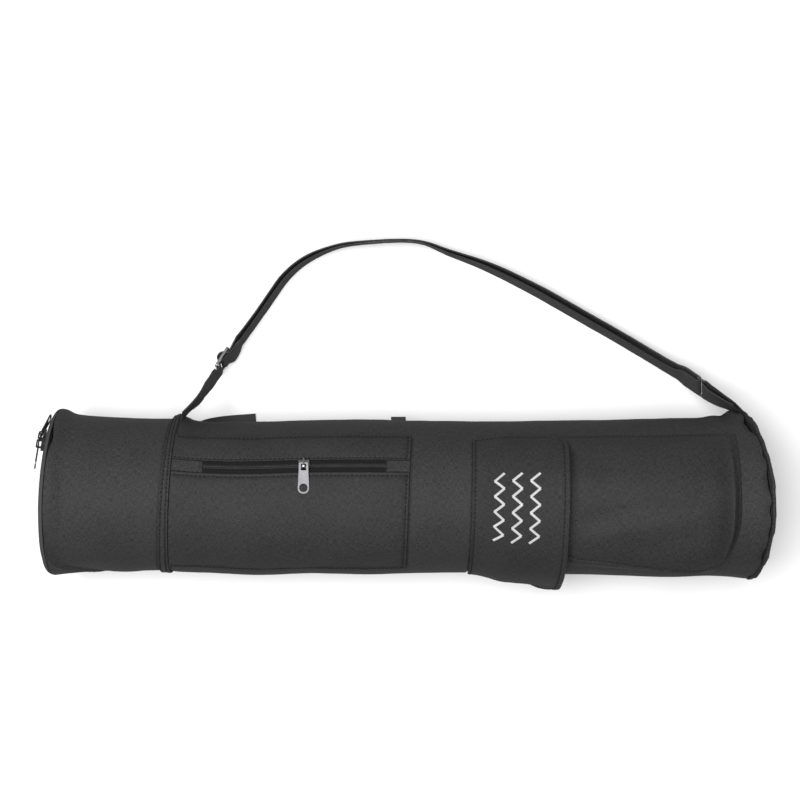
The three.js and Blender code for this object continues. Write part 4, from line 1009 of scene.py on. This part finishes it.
# three zigzag lines in satin stitch: places from the crease, reach round from the middle angle, in mm
motif = {
    "angle": 94, "places": (24, 41, 58), "reach": 36, "step": 8.0, "swing": 4.5, "radius": 92, "width": 2.7,
    "pitch": 0.62, "thread": 0.36,
}


def motifStrips():
    turns = np.arange(-motif["reach"], motif["reach"] + 0.1, motif["step"])
    swings = motif["swing"] * (-1.0) ** np.arange(len(turns))
    strips = []
    for place in motif["places"]:
        corners = np.stack([place + swings, turns], -1)
        strips += list(zip(corners[:-1], corners[1:]))
    return strips


def makeMotif(onFlap):
    def onCloth(spots, extra):
        angle = motif["angle"] + np.degrees(spots[:, 1] / motif["radius"])
        return onFlap(spots[:, 0] / flap["width"], angle, extra)

    centres, ways, ups = [], [], []
    for start, end in motifStrips():
        length = np.linalg.norm(end - start)
        way = (end - start) / length
        across = np.array([-way[1], way[0]])
        spots = start + way * np.arange(0.2, length, motif["pitch"])[:, None]
        centre = onCloth(spots, 0.05)
        centres.append(centre)
        ways.append(onCloth(spots + across, 0.05) - centre)
        ups.append(onCloth(spots, 1.05) - centre)
    capsules("flap_motif_thread", np.concatenate(centres), np.concatenate(ways), np.concatenate(ups),
             motif["width"], motif["thread"], slotName="webbing", material=silverThread)


# Webbing and hardware
web = {"width": 25, "wall": 1.5, "layer": 2.2, "reach": 184, "restGap": 0.8, "planStep": 1.2, "meshStep": 1.3}
root = {"place": -222.5, "angle": 15, "lean": 5, "lift": 3.0}
anchorEnd = {"place": 331, "angle": 0, "lift": 4.5}
hardware = {
    "bar": 2.4, "play": 0.6, "barPitch": 10.5, "ringPitch": 9, "tail": 24, "hold": 14, "sliderRow": 3,
}
# along as a share of the bag's length, out as a share of the reach, rise as a share of the sewn end's
# height, lean in degrees, half spacing of the strands in layers
strapRoute = [
    (-0.3, 0.105, 0.86, 3, 1.2), (-0.2885, 0.184, 0.5, 4, 1.2), (-0.278, 0.2674, 0.17, 6, 1.1),
    (-0.2689, 0.3342, 0.1, 9, 1.1), (-0.2575, 0.4011, 0.07, 8, 1.1), (-0.2435, 0.462, 0.04, 6, 1.0),
    (-0.2180, 0.594, 0, 6, 1.0), (-0.1975, 0.706, 0, 6, 1.0), (-0.1790, 0.802, 0, 5, 1.0),
    (-0.1509, 0.894, 0, 3, 0.9), (-0.1059, 0.971, 0, -1, 0.6), (-0.0551, 0.999, 0, -4, 0.52),
    (0.0186, 1.0, 0, -4, 0.52), (0.0623, 0.941, 0, 1, 0.7), (0.1241, 0.853, 0, 6, 1.1),
    (0.1964, 0.717, 0, 9, 1.3), (0.2731, 0.552, 0, 9, 1.4), (0.3144, 0.462, 0.02, 8, 1.5),
    (0.3743, 0.322, 0.1, 8, 1.5), (0.405, 0.249, 0.22, 12, 1.3), (0.4229, 0.1957, 0.34, 18, 1.1),
]


def curveThrough(points, perPiece=60):
    # centripetal curve through its points, with the length at each
    points = np.asarray(points, float)
    first = 2 * points[0] - points[1]
    last = 2 * points[-1] - points[-2]
    row = np.concatenate([[first], points, [last]])
    made = [points[0]]
    for i in range(1, len(row) - 2):
        p0, p1, p2, p3 = row[i - 1:i + 3]
        d0, d1, d2 = (max(np.linalg.norm(b - a) ** 0.5, 1e-4) for a, b in ((p0, p1), (p1, p2), (p2, p3)))
        t1 = ((p1 - p0) / d0 - (p2 - p0) / (d0 + d1) + (p2 - p1) / d1) * d1
        t2 = ((p2 - p1) / d1 - (p3 - p1) / (d1 + d2) + (p3 - p2) / d2) * d1
        s = np.linspace(0, 1, perPiece + 1)[1:, None]
        second = -3 * p1 + 3 * p2 - 2 * t1 - t2
        third = 2 * p1 - 2 * p2 + t1 + t2
        made.extend(p1 + t1 * s + second * s ** 2 + third * s ** 3)
    made = np.array(made)
    lengths = lengthsOf(made)
    return made, lengths, lengths[::perPiece]


def unit(v):
    return v / np.linalg.norm(v, axis=-1, keepdims=True)


class Route:
    def __init__(self, points, leans, halves, held):
        self.line, self.at, self.marks = curveThrough(points)
        self.length = self.at[-1]
        self.ways = unit(np.gradient(self.line, self.at, axis=0))
        self.leans, self.halves, self.held = leans, halves, held

    def table(self, values, distance):
        return rowValue(list(zip(self.marks, values)), 1, np.clip(distance, 0, self.length))

    def free(self, distance):
        inside = np.clip(distance, 0, self.length)
        centre = pointsAt(inside, self.at, self.line)
        way = unit(pointsAt(inside, self.at, self.ways))
        centre = centre + way * (distance - inside)[:, None]
        side = unit(np.cross([0, 0, 1.0], way))
        lean = np.radians(self.table(self.leans, distance))[:, None]
        up = np.cos(lean) * np.array([0, 0, 1.0]) + np.sin(lean) * side
        return centre, way, unit(up - way * np.sum(up * way, axis=1, keepdims=True))

    def frame(self, distance):
        distance = np.atleast_1d(np.asarray(distance, float))
        centre, way, up = self.free(distance)
        for row in self.held:
            offset = distance - self.marks[row]
            keep = (1 - smoothStep(np.abs(offset), hardware["hold"], 2 * hardware["hold"]))[:, None]
            c, w, u = self.free(np.array([self.marks[row]]))
            centre = centre * (1 - keep) + (c + w * offset[:, None]) * keep
            way = unit(way * (1 - keep) + w * keep)
            up = up * (1 - keep) + u * keep
        up = unit(up - way * np.sum(up * way, axis=1, keepdims=True))
        return centre, way, up, np.cross(up, way)

    def half(self, distance):
        return self.table(self.halves, distance)


def evenly(low, high, count):
    return np.linspace(low, high, count + 1)


def turnRound(distance, side, radius):
    angle = np.radians(evenly(-90, 90, 14))
    return np.stack([distance + side * radius * np.cos(angle), -side * radius * np.sin(angle)], -1)


def smoothPlan(marks):
    line, lengths, _ = curveThrough([(a, b, 0) for a, b in marks])
    count = max(2, round(lengths[-1] / web["planStep"]))
    return pointsAt(np.linspace(0, lengths[-1], count + 1), lengths, line[:, :2])


def evenPlan(plan):
    lengths = lengthsOf(plan)
    return pointsAt(np.linspace(0, lengths[-1], int(lengths[-1] / web["meshStep"])), lengths, plan)


def webMesh(name, route, plan, seed):
    plan = evenPlan(plan)
    centre, _, up, out = route.frame(plan[:, 0])
    return webAlong(name, centre + out * plan[:, 1:2], up, web["width"], seed)


def webAlong(name, centre, up, width, seed):
    way = unit(np.gradient(centre, axis=0))
    face = unit(np.cross(up, way))
    lengths = lengthsOf(centre)
    half, thick = width / 2, web["wall"] / 2
    # across the webbing: place over its width and over its thickness
    shape = [
        (-1, -0.35), (-1, 0.35), (-0.985, 0.8), (-0.955, 1), (-0.9, 0.86), (-0.5, 0.9), (0, 0.92), (0.5, 0.9),
        (0.9, 0.86), (0.955, 1), (0.985, 0.8), (1, 0.35),
    ]
    shape = shape + [(-a, -b) for a, b in shape]
    wave = 0.16 * softNoise(lengths / 23, 0, seed) + 0.06 * softNoise(lengths / 7, 0, seed + 2)
    rows = []
    for a, b in shape:
        rows.append(centre + up * (a * half) + face * (b * thick * 0.96 + wave * abs(a))[:, None])
    points = np.stack(rows, axis=1)
    n, m = points.shape[:2]
    faces = gridFaces(n, m, 0, True)
    faces.append(list(range(m))[::-1])
    faces.append([(n - 1) * m + k for k in range(m)])
    place = np.array([a * half for a, _ in shape])
    uv = np.stack([lengths[:, None] + 0 * place[None, :], place[None, :] + 0 * lengths[:, None]], -1)
    obj = addMesh(name, points.reshape(-1, 3), faces, uv.reshape(-1, 2), slotName="webbing", material=webbing)
    return obj, lengths[-1]


def barClear():
    # from the middle of a bar to the middle of the webbing round it
    return 0.5 * (hardware["bar"] + web["wall"]) + hardware["play"]


def strapPlan(route):
    sliderAt, ringAt = route.marks[hardware["sliderRow"] + 1], route.length
    clear = barClear()
    pitch, layer = hardware["barPitch"], web["layer"]
    outer, past = clear + layer, sliderAt + pitch
    settle = past + hardware["tail"] - 8

    def strand(side, low, high):
        d = evenly(low, high, 240)
        return np.stack([d, side * route.half(d)], -1)

    # inside the first bar, outside the middle one and inside the last, then on to the ring
    running = smoothPlan([
        (sliderAt - pitch - 9, -0.6 * clear), (sliderAt - pitch - 2, -clear),
        (sliderAt - pitch + 2, -clear + 0.4), (sliderAt - 2.6, outer - 0.4), (sliderAt + 2.6, outer - 0.4),
        (past - 2, -clear + 0.4), (past + 2, -clear), (past + 9, -clear + 1.2),
        (settle, float(route.half(settle)))])
    # back from the ring to the middle bar
    back = smoothPlan([
        (settle, -float(route.half(settle)) - 0.6), (past + 9, -clear - 1.7 * layer),
        (past + 2, -clear - 2 * layer), (past - 3, -clear - 1.75 * layer), (sliderAt + 3.5, -clear - 0.5),
        (sliderAt, -clear)])
    # the end that is sewn down beside the last bar
    tail = smoothPlan([
        (sliderAt, clear), (sliderAt + 2.6, clear - 0.4), (past - 2, -clear - layer + 0.4),
        (past + 2, -clear - layer), (past + 9, -clear - 0.8 * layer),
        (past + hardware["tail"] - 10, -clear - 0.2 * layer)])
    start = np.stack([evenly(0, sliderAt - pitch - 22, 20), np.zeros(21)], -1)
    return np.concatenate([
        start, running, strand(1, settle + 12, ringAt - 12), turnRound(ringAt, 1, clear),
        strand(-1, ringAt - 12, settle + 12), back[:-1], turnRound(sliderAt, -1, clear), tail[1:]])


def makeWebbing():
    rootPoint = skin(root["place"], root["angle"], root["lift"], 0)
    rest = 0.5 * web["width"] + web["restGap"]
    points, leans, halves = [rootPoint], [root["lean"]], [0]
    for along, out, rise, lean, half in strapRoute:
        height = rest + rise * (rootPoint[2] - rest)
        points.append(np.array([along * bag["length"], bag["radius"] + out * web["reach"], height]))
        leans.append(lean)
        halves.append(half * web["layer"])
    route = Route(points, leans, halves, [hardware["sliderRow"] + 1, len(strapRoute)])
    obj, length = webMesh("strap_webbing", route, strapPlan(route), 141)
    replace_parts(obj, "shoulder_strap")
    print("strap length", round(length))

    centre, way, _, _ = route.frame(route.length + hardware["ringPitch"])
    rootAt = skin(anchorEnd["place"], anchorEnd["angle"], anchorEnd["lift"], 0)
    start = centre[0] + way[0] * 7
    anchor = Route([centre[0], start, start + (rootAt - start) * 0.55, rootAt], [leans[-1], 14, 6, 2],
                   [0, 2.7, 2.2, 0.5 * web["layer"]], [])
    d = evenly(anchor.length, 9, 30)
    outer = np.stack([d, anchor.half(d)], -1)
    turn = turnRound(0, -1, barClear()) * np.array([1, -1])
    inner = np.stack([d[::-1], -anchor.half(d[::-1])], -1)
    obj, _ = webMesh("anchor_webbing", anchor, np.concatenate([outer, turn, inner]), 151)
    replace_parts(obj, "anchor_loop")


tab = {"angle": -38, "drop": 40, "length": 27, "out": 7, "skew": 4.5, "gap": 0.8}
loop = {"place": -8.6, "width": 15, "high": -22, "low": -36, "reach": 3.6}


def makeRearPieces():
    # free end of webbing that lies on the ground, and a loop further along
    start = skin(band["place"] + 1.8, tab["angle"], bag["seat"] + web["wall"], 0)
    rest = 0.5 * web["wall"] + tab["gap"]
    side = bag["radius"] + tab["out"] - 0.5 * web["width"]
    points = [start]
    for share, back, height in ((0.25, 1.25, 0.86), (0.65, 0.8, 0.27), (1, 0.45, 0.012)):
        y = side - back * tab["skew"]
        points.append(np.array([start[0] + share * tab["drop"], y, rest + height * (start[2] - rest)]))
    points.append(np.array([start[0] + tab["drop"] + tab["length"], side, rest]))
    route = Route(points, [-tab["angle"], 48, 76, 89, 90], [0] * 5, [])
    d = evenly(0, route.length, 60)
    obj, length = webMesh("rear_tab_webbing", route, np.stack([d, 0 * d], -1), 161)
    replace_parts(obj, "rear_tab")

    high, low = (skin(loop["place"], loop[key], bag["seat"] + 0.6, 0) for key in ("high", "low"))
    tip = float(skin(loop["place"], 0, 0, 0)[1]) + loop["reach"] - 0.5 * web["wall"]
    middle = 0.5 * (high[2] + low[2]) + 2
    bend = ((3.4, 4.2), (0.5, 1.5), (0.5, -1.5), (3.4, -4.2))
    marks = [high, *[np.array([loop["place"], tip - back, middle + rise]) for back, rise in bend], low]
    line, _, _ = curveThrough(marks, 12)
    obj, _ = webAlong("rear_loop_webbing", line, np.tile([1.0, 0, 0], (len(line), 1)), loop["width"], 163)
    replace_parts(obj, "rear_loop")


edgeRounding = {"strap": 0.00055, "zip": 0.00022}  # metres


def finishNodes():
    # the metal pieces stay as they are in the frame, with softened edges and the plated finish
    for name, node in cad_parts.items():
        if node.hide_render:
            continue
        node.data.materials.clear()
        node.data.materials.append(satin if name.endswith(("_pull", "_lower", "_upper")) else metal)
        bevel = node.modifiers.new("edges", "BEVEL")
        bevel.width = edgeRounding["strap" if name.startswith("strap") else "zip"]
        bevel.segments = 3
        bevel.limit_method = "ANGLE"
        bevel.angle_limit = math.radians(30)
        for polygon in node.data.polygons:
            polygon.use_smooth = False
        print("carried over", name)


makeTube()
makeBand()
print("tube and band made")
makeCap()
makeBase()
print("ends made")
makeZipPocket()
makeGussetPocket()
makeFlap()
print("pockets made")
makeWebbing()
makeRearPieces()
finishNodes()
print("webbing and hardware made")


# Floor, light and camera, in metres
studio = {
    "lens": 77.7, "cameraAt": (-0.007, 0.097, 1.795), "floorSize": 6.0, "floorBack": (0.42, 0.42, 0.422, 1),
    "sky": 0.4, "key": 45.0, "keyAt": (-0.3, 0.1, 1.8), "keySize": 1.3, "keyAim": (0.0, 0.05, 0.0),
}
paperLook = {
    "Scale": 30.0, "Roughness": 0.9, "Roughness Spread": 0.02,
    "Dark": (0.94525, 0.94525, 0.94724, 1), "Light": (0.95, 0.95, 0.952, 1),
}


def makeStudio():
    material = makeMaterial("floorPaper", grain, paperLook, {"Specular IOR Level": 0.1})
    # the ground looks white, but throws less light back under the bag
    tree = material.node_tree
    mix = tree.nodes.new("ShaderNodeMix")
    mix.data_type = "RGBA"
    mix.inputs[6].default_value = studio["floorBack"]
    paper = next(node for node in tree.nodes if node.bl_idname == "ShaderNodeGroup")
    tree.links.new(tree.nodes.new("ShaderNodeLightPath").outputs["Is Camera Ray"], mix.inputs[0])
    tree.links.new(paper.outputs["Color"], mix.inputs[7])
    tree.links.new(mix.outputs[2], tree.nodes["Principled BSDF"].inputs["Base Color"])
    size = studio["floorSize"]
    mesh = bpy.data.meshes.new("floor")
    corners = [(-size, -size, 0), (size, -size, 0), (size, size, 0), (-size, size, 0)]
    mesh.from_pydata(corners, [], [(0, 1, 2, 3)])
    mesh.materials.append(material)
    floor = bpy.data.objects.new("floor", mesh)
    scene.collection.objects.link(floor)

    world = bpy.data.worlds.new("studio")
    scene.world = world
    world.use_nodes = True
    world.node_tree.nodes["Background"].inputs["Color"].default_value = (1, 1, 1, 1)
    world.node_tree.nodes["Background"].inputs["Strength"].default_value = studio["sky"]

    light = bpy.data.lights.new("key", "AREA")
    light.energy = studio["key"]
    light.size = studio["keySize"]
    key = bpy.data.objects.new("key", light)
    key.location = studio["keyAt"]
    keyWay = Vector(studio["keyAt"]) - Vector(studio["keyAim"])
    key.rotation_euler = keyWay.to_track_quat("Z", "Y").to_euler()
    scene.collection.objects.link(key)

    data = bpy.data.cameras.new("camera")
    data.lens = studio["lens"]
    data.sensor_width = 36
    data.sensor_fit = "AUTO"
    data.clip_end = 20
    camera = bpy.data.objects.new("camera", data)
    camera.location = studio["cameraAt"]
    scene.collection.objects.link(camera)
    scene.camera = camera
    scene.view_settings.view_transform = "Standard"
    scene.view_settings.look = "None"


makeStudio()
